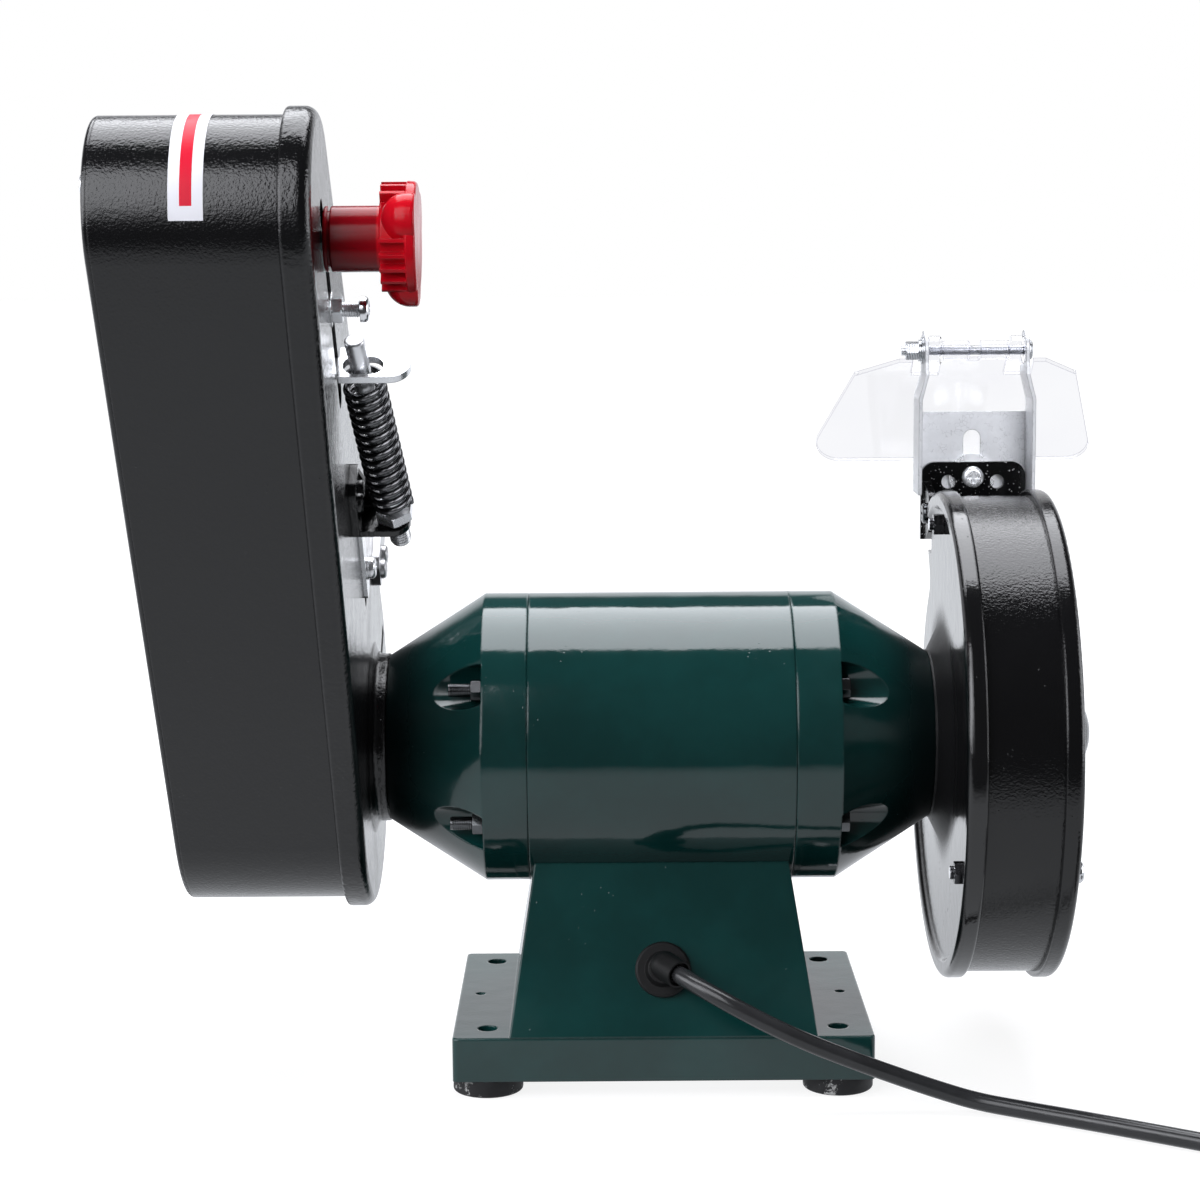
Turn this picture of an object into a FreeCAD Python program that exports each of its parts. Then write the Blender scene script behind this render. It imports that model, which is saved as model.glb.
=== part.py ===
import FreeCAD, Part
import math
import os

# Combined bench grinder and belt sander. Millimetres, +Z up.
# Origin: the bench surface under the middle of the four base bolt holes.
# +X runs along the spindle towards the grinding wheel, +Y towards the operator.

os.makedirs("parts", exist_ok=True)
V = FreeCAD.Vector
sin, cos, tan, rad = math.sin, math.cos, math.tan, math.radians

# ---- driving dimensions -----------------------------------------------------
AXIS_Z = 134.0            # spindle height above the bench
# base casting
BASE_HX, BASE_HY = 83.6, 64.1
SKIRT_Z, FLANGE_Z = 6.9, 24.6
FLANGE_T, SKIRT_T = 3.0, 3.0
BOLT_X, BOLT_Y, BOLT_R = 70.0, 50.0, 4.0
EAR_X, EAR_R = 75.0, 2.0
PED_X0, PED_X1 = 61.0, 51.0      # half width of the pedestal at the flange and at the motor
PED_Y0, PED_Y1 = 64.1, 38.6
PED_Z1 = 89.0
PED_WALL = 4.0
FACE_TILT = 21.6                 # slope of the pedestal's front and back faces
FACE_Y, FACE_Z = 54.4, 49.4      # middle of each sloping face
# motor
SHELL_R, SHELL_T, SHELL_HX = 59.0, 2.5, 53.0
BELL_LIP, BELL_TIP, BELL_TIP_R = 71.0, 110.0, 34.0
SPIGOT_R, SPIGOT_X = 26.0, 120.0
TIE_R, TIE_ANGLE, TIE_D = 52.0, 31.0, 5.0
POCKET_R, POCKET_AT = 9.0, 55.5
BRG_X0, BRG_X1, BRG_RO, BRG_RI = 96.0, 108.0, 20.0, 8.5
BALL_R, BALL_PITCH = 3.2, 14.25
# wheel side
WHEEL_R, WHEEL_X0, WHEEL_X1 = 75.0, 126.5, 146.5
GUARD_R, BAND_R, BAND_T = 100.0, 97.5, 3.0
GUARD_X0, DISH_X, POCKET_X, BAND_X0, BAND_X1, COVER_X1 = 114.4, 116.4, 118.5, 122.2, 155.7, 158.7
OPEN_LOW, OPEN_HIGH, OPEN_R = -22.0, 54.0, 69.5
GUARD_SCREW_R = 86.5
BRK_Y = 59.0                     # back face of the spark bracket
CLAMP_X, CLAMP_Z = 136.2, 234.3  # shield clamp screw
ARM_Y = 63.5                     # back face of the shield arm's web
HINGE_Y, HINGE_Z = 54.0, 288.7   # shield hinge
# belt arm, in the arm's own frame: Z up the arm, Y to its front
LEAN = 39.65                     # backward lean of the arm from vertical
BELT_C = 265.4                   # drum to idler centres
TOP_C = 277.8                    # centre of the housing's top arc
RIM_R0, RIM_R1 = 69.1, 35.0
COV_R0, COV_R1, COV_T = 65.4, 32.2, 2.0
COV_X0, COV_X1 = -192.2, -127.6
CAST_X1, PLATE_X0 = -116.8, -120.8
DRUM_R, IDLER_R, BELT_GAP, BELT_T = 39.4, 17.3, 0.3, 1.2
BELT_X0, BELT_X1 = -185.0, -135.0
TRACK_Z = 233.7                  # tracking screw
SLIDE_SLOT = 4.6                 # half width of the carriage slot
ROD_LOW, ROD_TOP, ROD_R = (-99.25, 0.0, 116.9), (-110.0, 0.0, 219.5), 3.6
SPRING_R, WIRE_R = 6.75, 1.25
# cord
CORD_D = 7.0
GLAND_DIR = (0.578, -0.798, -0.170)   # the way the cord leaves its gland
GLAND_MOUTH = (6.2, -67.4, 51.0)
ROUTE = [
    (3.77, -64.05, 51.71), (8.63, -70.75, 50.29), (14.59, -76.23, 48.02), (21.35, -80.22, 45.04),
    (28.61, -82.52, 41.48), (40.9, -83.3, 35), (56, -83.6, 27.8), (72, -83.2, 21.2),
    (88.5, -82.9, 14.9), (105, -83.2, 9.1), (121, -85.4, 4.6), (138, -92.5, 3.5),
    (156.9, -104, 3.5), (176.5, -116.5, 3.5), (198, -130.6, 3.5), (219.5, -145, 3.5),
    (240, -157, 3.5),
]
COIL_C, COIL_RM, COIL_W, COIL_H = (262.0, -120.0), 38.5, 14.0, 21.0
# -----------------------------------------------------------------------------


def cylx(x0, x1, r, y=0.0, z=0.0):
    return Part.makeCylinder(r, x1 - x0, V(x0, y, z), V(1, 0, 0))


def cyly(y0, y1, r, x=0.0, z=0.0):
    return Part.makeCylinder(r, y1 - y0, V(x, y0, z), V(0, 1, 0))


def cylz(z0, z1, r, x=0.0, y=0.0):
    return Part.makeCylinder(r, z1 - z0, V(x, y, z0), V(0, 0, 1))


def tubex(x0, x1, ro, ri, y=0.0, z=0.0):
    return cylx(x0, x1, ro, y, z).cut(cylx(x0 - 1, x1 + 1, ri, y, z))


def box(x0, x1, y0, y1, z0, z1):
    return Part.makeBox(x1 - x0, y1 - y0, z1 - z0, V(x0, y0, z0))


def outline(points, place):
    """Closed outline from (u, v[, radius]) points; a radius rounds that corner."""
    n = len(points)
    corners = []
    for i in range(n):
        p0, p1, p2 = points[i - 1], points[i], points[(i + 1) % n]
        r = p1[2] if len(p1) > 2 else 0.0
        if r <= 0:
            corners.append((p1[:2], p1[:2], None))
            continue
        a = (p0[0] - p1[0], p0[1] - p1[1])
        b = (p2[0] - p1[0], p2[1] - p1[1])
        la, lb = math.hypot(*a), math.hypot(*b)
        ua, ub = (a[0] / la, a[1] / la), (b[0] / lb, b[1] / lb)
        ang = math.acos(max(-1, min(1, ua[0] * ub[0] + ua[1] * ub[1])))
        t = r / tan(ang / 2)
        bi = (ua[0] + ub[0], ua[1] + ub[1])
        lbis = math.hypot(*bi)
        bi = (bi[0] / lbis, bi[1] / lbis)
        d = r / sin(ang / 2)
        mid = (p1[0] + bi[0] * (d - r), p1[1] + bi[1] * (d - r))
        corners.append((
            (p1[0] + ua[0] * t, p1[1] + ua[1] * t),
            (p1[0] + ub[0] * t, p1[1] + ub[1] * t), mid))
    edges = []
    for i in range(n):
        s, e, m = corners[i]
        if m is not None:
            edges.append(Part.Arc(place(s), place(m), place(e)).toShape())
        nxt = corners[(i + 1) % n][0]
        if math.hypot(nxt[0] - e[0], nxt[1] - e[1]) > 1e-6:
            edges.append(Part.LineSegment(place(e), place(nxt)).toShape())
    return Part.Face(Part.Wire(edges))


def turned(points):
    """Solid of revolution about the X axis from an (x, r) outline."""
    return outline(points, lambda p: V(p[0], 0, p[1])).revolve(V(0, 0, 0), V(1, 0, 0), 360)


def plate_x(points, x0, x1):
    return outline(points, lambda p: V(x0, p[0], p[1])).extrude(V(x1 - x0, 0, 0))


def plate_y(points, y0, y1):
    return outline(points, lambda p: V(p[0], y0, p[1])).extrude(V(0, y1 - y0, 0))


def plate_z(points, z0, z1):
    return outline(points, lambda p: V(p[0], p[1], z0)).extrude(V(0, 0, z1 - z0))


def stadium(r0, r1, d, x0, x1):
    """Prism along X round two circles in the arm's YZ plane: r0 at the origin, r1 at height d."""
    b = math.asin((r0 - r1) / d)
    n = (cos(b), sin(b))
    a1, b1 = V(x0, r0 * n[0], r0 * n[1]), V(x0, r1 * n[0], d + r1 * n[1])
    a2, b2 = V(x0, -r0 * n[0], r0 * n[1]), V(x0, -r1 * n[0], d + r1 * n[1])
    w = Part.Wire([
        Part.LineSegment(a1, b1).toShape(),
        Part.Arc(b1, V(x0, 0, d + r1), b2).toShape(),
        Part.LineSegment(b2, a2).toShape(),
        Part.Arc(a2, V(x0, 0, -r0), a1).toShape(),
    ])
    return Part.Face(w).extrude(V(x1 - x0, 0, 0))


def rounded(shape, radius, keep):
    """Round the edges that keep(edge) picks."""
    edges = [e for e in shape.Edges if keep(e)]
    if not edges:
        return shape
    out = shape.makeFillet(radius, edges)
    return out if out.isValid() and out.Volume > 0 else shape


def at_x(e, x, tol=1e-3):
    return all(abs(v.X - x) < tol for v in e.Vertexes) and abs(e.BoundBox.XMin - x) < tol and abs(e.BoundBox.XMax - x) < tol


def at_z(e, z, tol=1e-3):
    return abs(e.BoundBox.ZMin - z) < tol and abs(e.BoundBox.ZMax - z) < tol


def hex_x(x0, x1, across, y=0.0, z=0.0, bore=0.0, turn=0.0):
    r = across / 2 / cos(rad(30))
    pts = [V(x0, y + r * cos(rad(60 * i + turn)), z + r * sin(rad(60 * i + turn))) for i in range(6)]
    s = Part.Face(Part.makePolygon(pts + [pts[0]])).extrude(V(x1 - x0, 0, 0))
    s = s.common(turned([(x0, 0.0), (x0, r * 0.93), (x0 + (x1 - x0) * 0.12, r * 1.01), (x1 - (x1 - x0) * 0.12, r * 1.01), (x1, r * 0.93), (x1, 0.0)]).translated(V(0, y, z)))
    return s.cut(cylx(x0 - 1, x1 + 1, bore, y, z)) if bore else s


def pan_x(x0, x1, r, y, z):
    """Pan screw head with a cross recess; its flat side is at x0 and its crown at x1."""
    s = 1 if x1 > x0 else -1
    h = abs(x1 - x0)
    head = cylx(min(x0, x1), max(x0, x1), r, y, z)
    head = rounded(head, h * 0.62, lambda e: at_x(e, x1))
    a, b = sorted((x1 - s * h * 0.45, x1 + s * 1.0))
    for w, l in ((r * 0.13, r * 0.55), (r * 0.55, r * 0.13)):
        head = head.cut(box(a, b, y - w, y + w, z - l, z + l))
    return head


def frame_axis(s):
    return s.translated(V(0, 0, AXIS_Z))


def frame_arm(s):
    s = s.copy()
    s.rotate(V(0, 0, 0), V(1, 0, 0), LEAN)
    return s.translated(V(0, 0, AXIS_Z))


def save(name, shape):
    solids = shape.Solids
    for s in solids:
        if not s.isValid() or s.Volume < 1e-3:
            print("BAD", name, s.isValid(), s.Volume)
    b = shape.BoundBox
    print("%-22s %2d solids  vol %10.1f  X %7.1f %7.1f  Y %7.1f %7.1f  Z %7.1f %7.1f" % (
        name, len(solids), shape.Volume, b.XMin, b.XMax, b.YMin, b.YMax, b.ZMin, b.ZMax))
    (solids[0] if len(solids) == 1 else Part.makeCompound(solids)).exportStep("parts/%s.step" % name)


def group(*shapes):
    return Part.makeCompound([s for sh in shapes for s in sh.Solids])


# ---- base -------------------------------------------------------------------
def rect(hx, hy, z):
    return Part.makePolygon([V(-hx, -hy, z), V(hx, -hy, z), V(hx, hy, z), V(-hx, hy, z), V(-hx, -hy, z)])


PED_TOP = 100.0


def ped_half(z, inset=0.0):
    k = (z - FLANGE_Z) / (PED_Z1 - FLANGE_Z)
    return PED_X0 + (PED_X1 - PED_X0) * k - inset, PED_Y0 + (PED_Y1 - PED_Y0) * k - inset


skirt = box(-BASE_HX, BASE_HX, -BASE_HY, BASE_HY, SKIRT_Z, FLANGE_Z)
skirt = rounded(skirt, 2.2, lambda e: abs(e.BoundBox.ZMax - e.BoundBox.ZMin) > 5)
skirt = rounded(skirt, 0.8, lambda e: at_z(e, FLANGE_Z) and abs(e.CenterOfMass.x) > 70)
upright = Part.makeLoft([rect(*ped_half(FLANGE_Z), FLANGE_Z), rect(*ped_half(PED_TOP), PED_TOP)], True, True)
hollow = Part.makeLoft([rect(*ped_half(FLANGE_Z, PED_WALL), FLANGE_Z), rect(*ped_half(PED_TOP, PED_WALL), PED_TOP)], True, True)
upright = upright.cut(frame_axis(cylx(-80, 80, SHELL_R)))
hollow = hollow.cut(frame_axis(cylx(-80, 80, SHELL_R + 4)))
base = skirt.fuse(upright).removeSplitter()
base = base.cut(hollow)
hx, hy = ped_half(FLANGE_Z, PED_WALL)
base = base.cut(box(-hx, hx, -hy, hy, SKIRT_Z - 1, FLANGE_Z))
base = base.cut(box(-BASE_HX + SKIRT_T, BASE_HX - SKIRT_T, -BASE_HY + SKIRT_T, BASE_HY - SKIRT_T, SKIRT_Z - 1, FLANGE_Z - FLANGE_T))
for sx in (-1, 1):
    for sy in (-1, 1):
        base = base.cut(cylz(SKIRT_Z, FLANGE_Z + 2, BOLT_R, sx * BOLT_X, sy * BOLT_Y))
    base = base.cut(cylz(SKIRT_Z, FLANGE_Z + 2, EAR_R, sx * EAR_X, 0))
BACK_N = V(0, -cos(rad(FACE_TILT)), sin(rad(FACE_TILT)))
FRONT_N = V(0, cos(rad(FACE_TILT)), sin(rad(FACE_TILT)))
BACK_P, FRONT_P = V(0, -FACE_Y, FACE_Z), V(0, FACE_Y, FACE_Z)
base = base.cut(Part.makeCylinder(7.0, 24, BACK_P - BACK_N * 12, BACK_N))


def on_front(s):
    """Place a shape modelled on the plane y = 0, facing +Y, on the pedestal's front face."""
    s = s.copy()
    s.rotate(V(0, 0, 0), V(1, 0, 0), FACE_TILT)
    return s.translated(FRONT_P)


base = base.cut(on_front(box(-14.2, 14.2, -12, 12, -10.7, 10.7)))
save("base_pedestal", base)

plate = box(-54, 54, -60.5, 60.5, 20.1, 21.6).fuse(box(-79.5, 79.5, -30, 30, 20.1, 21.6)).removeSplitter()
for sx in (-1, 1):
    plate = plate.cut(cylz(19, 23, EAR_R, sx * EAR_X, 0))
save("bottom_plate", plate)
save("bottom_plate_screws", group(*[
    rounded(cylz(17.6, 20.1, 3.8, sx * EAR_X, 0), 1.2, lambda e: at_z(e, 17.6)).fuse(cylz(20.1, 23.4, EAR_R - 0.05, sx * EAR_X, 0))
    for sx in (-1, 1)]))


def foot(x, y):
    f = rounded(cylz(0, SKIRT_Z, 14.0, x, y), 1.2, lambda e: at_z(e, 0) and e.BoundBox.XLength > 20)
    return f.fuse(cylz(SKIRT_Z, FLANGE_Z - FLANGE_T, 10.3, x, y)).cut(cylz(-1, FLANGE_Z, BOLT_R, x, y)).removeSplitter()


save("rubber_feet", group(*[foot(sx * BOLT_X, sy * BOLT_Y) for sx in (-1, 1) for sy in (-1, 1)]))

# ---- motor ------------------------------------------------------------------
tie_at = [(TIE_R * cos(rad(a)), TIE_R * sin(rad(a))) for a in (TIE_ANGLE, 180 - TIE_ANGLE, 180 + TIE_ANGLE, -TIE_ANGLE)]
pocket_at = [(POCKET_AT * cos(rad(a)), POCKET_AT * sin(rad(a))) for a in (TIE_ANGLE, 180 - TIE_ANGLE, 180 + TIE_ANGLE, -TIE_ANGLE)]

save("stator_shell", frame_axis(turned([
    (-SHELL_HX, SHELL_R - SHELL_T), (-SHELL_HX, SHELL_R, 0.45), (SHELL_HX, SHELL_R, 0.45), (SHELL_HX, SHELL_R - SHELL_T)])))
core = tubex(-30, 30, SHELL_R - SHELL_T, 34.0)
for y, z in tie_at:
    core = core.cut(cylx(-31, 31, TIE_D / 2 + 0.5, y, z))
save("stator_core", frame_axis(core))
save("stator_winding", frame_axis(group(*[
    turned([(s * 30.0, 36.0), (s * 44.0, 36.0, 3.0), (s * 44.0, 46.0, 4.0), (s * 30.0, 46.0)]) for s in (-1, 1)])))


def bell(s):
    b = turned([
        (SHELL_HX, SHELL_R, 0.45), (BELL_LIP, SHELL_R, 1.0), (BELL_TIP, BELL_TIP_R), (BELL_TIP, SPIGOT_R),
        (SPIGOT_X, SPIGOT_R), (SPIGOT_X, 12.0), (BRG_X1, 12.0), (BRG_X1, BRG_RO), (BRG_X0 - 1, BRG_RO),
        (BRG_X0 - 1, 26.0), (88.0, 38.0), (65.0, 41.5), (65.0, 55.0), (SHELL_HX, 55.0)])
    for (y, z), (py, pz) in zip(tie_at, pocket_at):
        b = b.cut(cylx(BELL_LIP, 105, POCKET_R, py, pz))
        b = b.cut(cylx(60, BELL_LIP + 1, TIE_D / 2 + 0.1, y, z))
    return b if s > 0 else b.mirror(V(0, 0, 0), V(1, 0, 0))


save("end_bell_left", frame_axis(bell(-1)))
save("end_bell_right", frame_axis(bell(1)))
ties = []
for y, z in tie_at:
    ties.append(cylx(-BELL_LIP - 13, BELL_LIP, TIE_D / 2, y, z).fuse(hex_x(BELL_LIP, BELL_LIP + 3.6, 8.0, y, z)).removeSplitter())
    ties.append(hex_x(-BELL_LIP - 4.2, -BELL_LIP, 8.0, y, z, bore=TIE_D / 2))
save("tie_bolts", frame_axis(group(*ties)))

rings_o, rings_i, balls = [], [], []
for s in (-1, 1):
    x0, x1 = sorted((s * BRG_X0, s * BRG_X1))
    groove = Part.makeTorus(BALL_PITCH, BALL_R + 0.2, V((x0 + x1) / 2, 0, 0), V(1, 0, 0))
    rings_o.append(tubex(x0, x1, BRG_RO, 15.9).cut(groove))
    rings_i.append(tubex(x0, x1, 12.6, BRG_RI).cut(groove))
    for k in range(8):
        a = rad(45 * k + 10)
        balls.append(Part.makeSphere(BALL_R, V((x0 + x1) / 2, BALL_PITCH * cos(a), BALL_PITCH * sin(a))))
save("bearing_outer_rings", frame_axis(group(*rings_o)))
save("bearing_inner_rings", frame_axis(group(*rings_i)))
save("bearing_balls", frame_axis(group(*balls)))

save("run_capacitor", rounded(cylx(-26, 26, 15.0, 6, 36.7), 2.0, lambda e: e.BoundBox.XLength < 0.01))

# ---- switch and cord inlet ----------------------------------------------------
bezel = box(-17, 17, 0, 2.6, -13.5, 13.5)
bezel = rounded(bezel, 1.2, lambda e: abs(e.CenterOfMass.y - 2.6) < 0.01)
bezel = bezel.fuse(box(-14, 14, -16, 0, -10.5, 10.5)).removeSplitter()
bezel = bezel.cut(box(-11.4, 11.4, -8, 5, -7.4, 7.4))
save("switch_body", on_front(bezel))
rocker = plate_x([(-6.5, -4.0), (-2.0, -7.0, 1.0), (2.2, -6.6, 1.0), (1.4, 0.0), (4.6, 6.4, 1.0), (-2.0, 7.0, 1.0), (-6.5, 4.0)], -11.0, 11.0)
save("switch_rocker", on_front(rocker))

gd = V(*GLAND_DIR)
gd.normalize()
mouth_c = V(*GLAND_MOUTH)
elbow = mouth_c - gd * 9.6
gland = Part.makeCylinder(11.0, 2.6, BACK_P, BACK_N)
gland = rounded(gland, 1.0, lambda e: e.CenterOfMass.sub(BACK_P).dot(BACK_N) > 2.5)
gland = gland.fuse(Part.makeCylinder(6.9, 9, BACK_P - BACK_N * 6, BACK_N))
gland = gland.fuse(Part.makeCylinder(8.4, 1.8, BACK_P - BACK_N * 5.9, BACK_N))
gland = gland.fuse(Part.makeCone(7.2, 5.9, 4.0, BACK_P + BACK_N * 2.4, BACK_N))
gland = gland.fuse(Part.makeSphere(5.8, elbow))
gland = gland.fuse(Part.makeCone(5.75, 5.55, 9.6, elbow, gd))
gland = gland.cut(Part.makeCylinder(CORD_D / 2 - 0.05, 5.0, mouth_c - gd * 4.4, gd))
gland = gland.cut(Part.makeCylinder(4.75, 5.0, mouth_c - gd * 3.0, gd))
save("cord_gland", gland.removeSplitter())


# ---- cord -------------------------------------------------------------------
def cord_tube(points, r):
    pts = [V(*p) for p in points]
    edges, prev = [], pts[0]
    worst = 1e9
    length = 0.0
    for i in range(1, len(pts) - 1):
        a, b = pts[i - 1].sub(pts[i]), pts[i + 1].sub(pts[i])
        la, lb = a.Length, b.Length
        a.normalize(), b.normalize()
        turn = math.pi - a.getAngle(b)
        t = 0.45 * min(la, lb)
        radius = t / tan(turn / 2)
        worst = min(worst, radius)
        s, e = pts[i] + a * t, pts[i] + b * t
        bis = (a + b)
        bis.normalize()
        m = pts[i] + bis * (radius / cos(turn / 2) - radius)
        edges.append(Part.LineSegment(prev, s).toShape())
        edges.append(Part.Arc(s, m, e).toShape())
        length += prev.distanceToPoint(s) + radius * turn
        prev = e
        print("  turn %5.1f deg  radius %6.1f  runs %5.1f %5.1f" % (math.degrees(turn), radius, la, lb))
    edges.append(Part.LineSegment(prev, pts[-1]).toShape())
    length += prev.distanceToPoint(pts[-1])
    path = Part.Wire(edges)
    d = pts[1].sub(pts[0])
    section = Part.Wire([Part.Circle(pts[0], d, r).toShape()])
    tube = path.makePipeShell([section], True, True)
    print("  cord tube length %.1f  volume ratio %.4f  least radius %.1f" % (length, tube.Volume / (math.pi * r * r * length), worst))
    return tube


save("power_cord", cord_tube(ROUTE, CORD_D / 2))
cx, cy = COIL_C
ring = cylz(0, COIL_H, COIL_RM + COIL_W / 2, cx, cy).cut(cylz(-1, COIL_H + 1, COIL_RM - COIL_W / 2, cx, cy))
ring = rounded(ring, 3.3, lambda e: at_z(e, 0) or at_z(e, COIL_H))
save("cord_coil", ring)
tie_c = box(-COIL_W / 2 - 1.6, COIL_W / 2 + 1.6, -4.5, 4.5, 0, COIL_H + 1.6)
tie_c = tie_c.cut(box(-COIL_W / 2 - 0.5, COIL_W / 2 + 0.1, -6, 6, -1, COIL_H + 0.1))
tie_c = tie_c.translated(V(cx + COIL_RM, cy, 0))
save("cord_tie", tie_c)
# plug lying on the coil, its rear end facing the last turn
pl = plate_z([(0, -12.5, 5), (34, -14.5, 7), (34, 14.5, 7), (0, 12.5, 5)], 0, 20)
pl = rounded(pl, 4.0, lambda e: at_z(e, 20))
pl = pl.fuse(Part.makeCone(5.0, 8.0, 20, V(-20, 0, 9), V(1, 0, 0)))
pl = pl.removeSplitter()
pins = [rounded(cylx(34, 53, 2.4, y, 9), 1.2, lambda e: at_x(e, 53)) for y in (-9.5, 9.5)]
plug = group(pl, *pins)
plug.rotate(V(0, 0, 0), V(0, 0, 1), -75)
save("plug", plug.translated(V(cx - 25.94, cy - 15.23, COIL_H)))

# ---- wheel guard --------------------------------------------------------------
def sector(r0, a0, a1, x0, x1, corner=0.0):
    def pt(r, a):
        return V(x0, r * cos(rad(a)), r * sin(rad(a)))
    am = (a0 + a1) / 2
    w = Part.Wire([
        Part.LineSegment(pt(r0, a0), pt(140, a0)).toShape(),
        Part.Arc(pt(140, a0), pt(140, am), pt(140, a1)).toShape(),
        Part.LineSegment(pt(140, a1), pt(r0, a1)).toShape(),
        Part.Arc(pt(r0, a1), pt(r0, am), pt(r0, a0)).toShape()])
    s = Part.Face(w).extrude(V(x1 - x0, 0, 0))
    if corner:
        s = rounded(s, corner, lambda e: e.BoundBox.XLength > 1 and math.hypot(e.CenterOfMass.y, e.CenterOfMass.z) < r0 + 5)
    return s


mouth = sector(OPEN_R, OPEN_LOW, OPEN_HIGH, 100, 200, 8.0)
screw_at = [(GUARD_SCREW_R * cos(rad(a)), GUARD_SCREW_R * sin(rad(a))) for a in (208, 332, 90)]

inner = turned([
    (110.0, SPIGOT_R), (110.0, 34.5), (110.7, 34.5), (DISH_X, 46.0, 5.0), (DISH_X, 92.0, 1.5), (GUARD_X0, 93.6, 1.2),
    (GUARD_X0, GUARD_R, 2.6), (BAND_X0, GUARD_R, 1.2), (BAND_X0, BAND_R - BAND_T), (121.5, BAND_R - BAND_T), (121.5, SPIGOT_R)])
inner = inner.cut(mouth).cut(sector(91.0, 50, 66, 113, POCKET_X)).cut(sector(91.0, -30, -18, 113, POCKET_X))
# pockets for the shield bracket's foot and the wheel rest's arm
for pocket in (box(113, POCKET_X, 39.5, 64.0, 70.0, 105.0), box(113, POCKET_X, 56.5, 110.0, -45.5, -22.5)):
    inner = inner.cut(pocket.common(cylx(113, POCKET_X, 92.0)))
inner = inner.fuse(box(POCKET_X, 121.5, 40, 54, 72, 93)).removeSplitter()
for y, z in screw_at:
    inner = inner.cut(cylx(112, 130, 2.6, y, z))
LUG_Y, LUG_Z = 47.5, 86.0
inner = inner.cut(cylx(112, 130, 2.1, LUG_Y, LUG_Z))
save("guard_inner", frame_axis(inner))
save("guard_band", frame_axis(tubex(BAND_X0, BAND_X1, BAND_R, BAND_R - BAND_T).cut(mouth)))
lid = turned([
    (151.3, BAND_R), (151.3, GUARD_R, 0.8), (COVER_X1, GUARD_R, 3.0), (COVER_X1, 0.0), (BAND_X1, 0.0), (BAND_X1, BAND_R)])
dome = Part.makeSphere(24.0, V(153.2, 0, 0)).common(box(157.0, 200, -50, 50, -50, 50))
lid = lid.fuse(dome).cut(Part.makeSphere(21.8, V(153.2, 0, 0))).removeSplitter()
lid = lid.cut(mouth)
for y, z in screw_at:
    lid = lid.cut(cylx(150, 165, 2.6, y, z))
save("guard_cover", frame_axis(lid))
gs, gn = [], []
for i, (y, z) in enumerate(screw_at):
    seat = POCKET_X if i == 1 else DISH_X
    gs.append(pan_x(COVER_X1, COVER_X1 + 3.6, 4.6, y, z).fuse(cylx(seat - 5.9, COVER_X1 + 0.3, 2.45, y, z)).removeSplitter())
    gn.append(hex_x(seat - 4.2, seat, 8.0, y, z, bore=2.5))
save("guard_screws", frame_axis(group(*gs)))
save("guard_nuts", frame_axis(group(*gn)))

# ---- shield bracket, arm and eye shield ---------------------------------------
brk = plate_y([(114.0, 207.6), (158.6, 207.6), (158.6, 240.8, 6.0), (114.0, 240.8, 6.0)], BRK_Y, BRK_Y + 3.0)
leg = plate_x([(41.0, 213.5, 5.0), (41.0, 228.5, 4.0), (62.0, 233.0), (62.0, 208.4), (52.0, 208.4, 4.0)], 115.3, 118.3)
brk = brk.fuse(leg).removeSplitter()
brk = brk.cut(cyly(50, 70, 2.7, CLAMP_X, CLAMP_Z))
for dx in (-10.4, 10.4):
    brk = brk.cut(cyly(50, 70, 3.0, CLAMP_X + dx, CLAMP_Z - 2.0))
brk = brk.cut(cylx(110, 120, 2.6, LUG_Y, AXIS_Z + LUG_Z))
save("spark_bracket", brk)


def pan_y(y0, y1, r, x, z):
    s = pan_x(y0, y1, r, 0, 0)
    s.rotate(V(0, 0, 0), V(0, 0, 1), 90)
    return s.translated(V(x, 0, z))


clamp = pan_y(BRK_Y, BRK_Y - 2.8, 4.6, CLAMP_X, CLAMP_Z).fuse(cyly(BRK_Y - 0.3, 77.0, 2.45, CLAMP_X, CLAMP_Z)).removeSplitter()
lugs = pan_x(115.3, 113.1, 4.4, LUG_Y, LUG_Z).fuse(cylx(115.0, 121.6, 2.05, LUG_Y, LUG_Z)).removeSplitter()
save("bracket_screws", group(clamp, frame_axis(lugs)))
w1 = cyly(BRK_Y + 3.0, ARM_Y - 0.05, 10.0, CLAMP_X, CLAMP_Z)
w2 = cyly(ARM_Y + 1.55, ARM_Y + 2.8, 7.5, CLAMP_X, CLAMP_Z)
save("clamp_washers", group(*[w.cut(cyly(50, 80, 2.55, CLAMP_X, CLAMP_Z)) for w in (w1, w2)]))
wy0 = ARM_Y + 3.1
wing = Part.makeCone(5.2, 4.2, 6.5, V(CLAMP_X, wy0, CLAMP_Z), V(0, 1, 0))
for s in (-1, 1):
    blade = plate_z([(s * 3.0, 0.8), (s * 9.0, 1.2, 1.5), (s * 12.6, 7.2, 2.4), (s * 8.0, 8.0, 1.5), (s * 3.0, 5.5)], -1.3, 1.3)
    wing = wing.fuse(blade.translated(V(CLAMP_X, wy0, CLAMP_Z)))
wing = wing.removeSplitter().cut(cyly(60, 90, 2.5, CLAMP_X, CLAMP_Z))
save("shield_wing_nut", wing)

AX0, AX1, AT = 111.2, 160.6, 1.5
web = plate_y([(AX0, 228.0), (AX1, 228.0), (AX1, 262.0), (AX0, 262.0)], ARM_Y, ARM_Y + AT)
slot = cyly(ARM_Y - 1, ARM_Y + 4, 3.65, CLAMP_X, CLAMP_Z).fuse(cyly(ARM_Y - 1, ARM_Y + 4, 3.65, CLAMP_X, 250.6)).fuse(
    box(CLAMP_X - 3.65, CLAMP_X + 3.65, ARM_Y - 1, ARM_Y + 4, CLAMP_Z, 250.6))
web = web.cut(slot)


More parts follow.
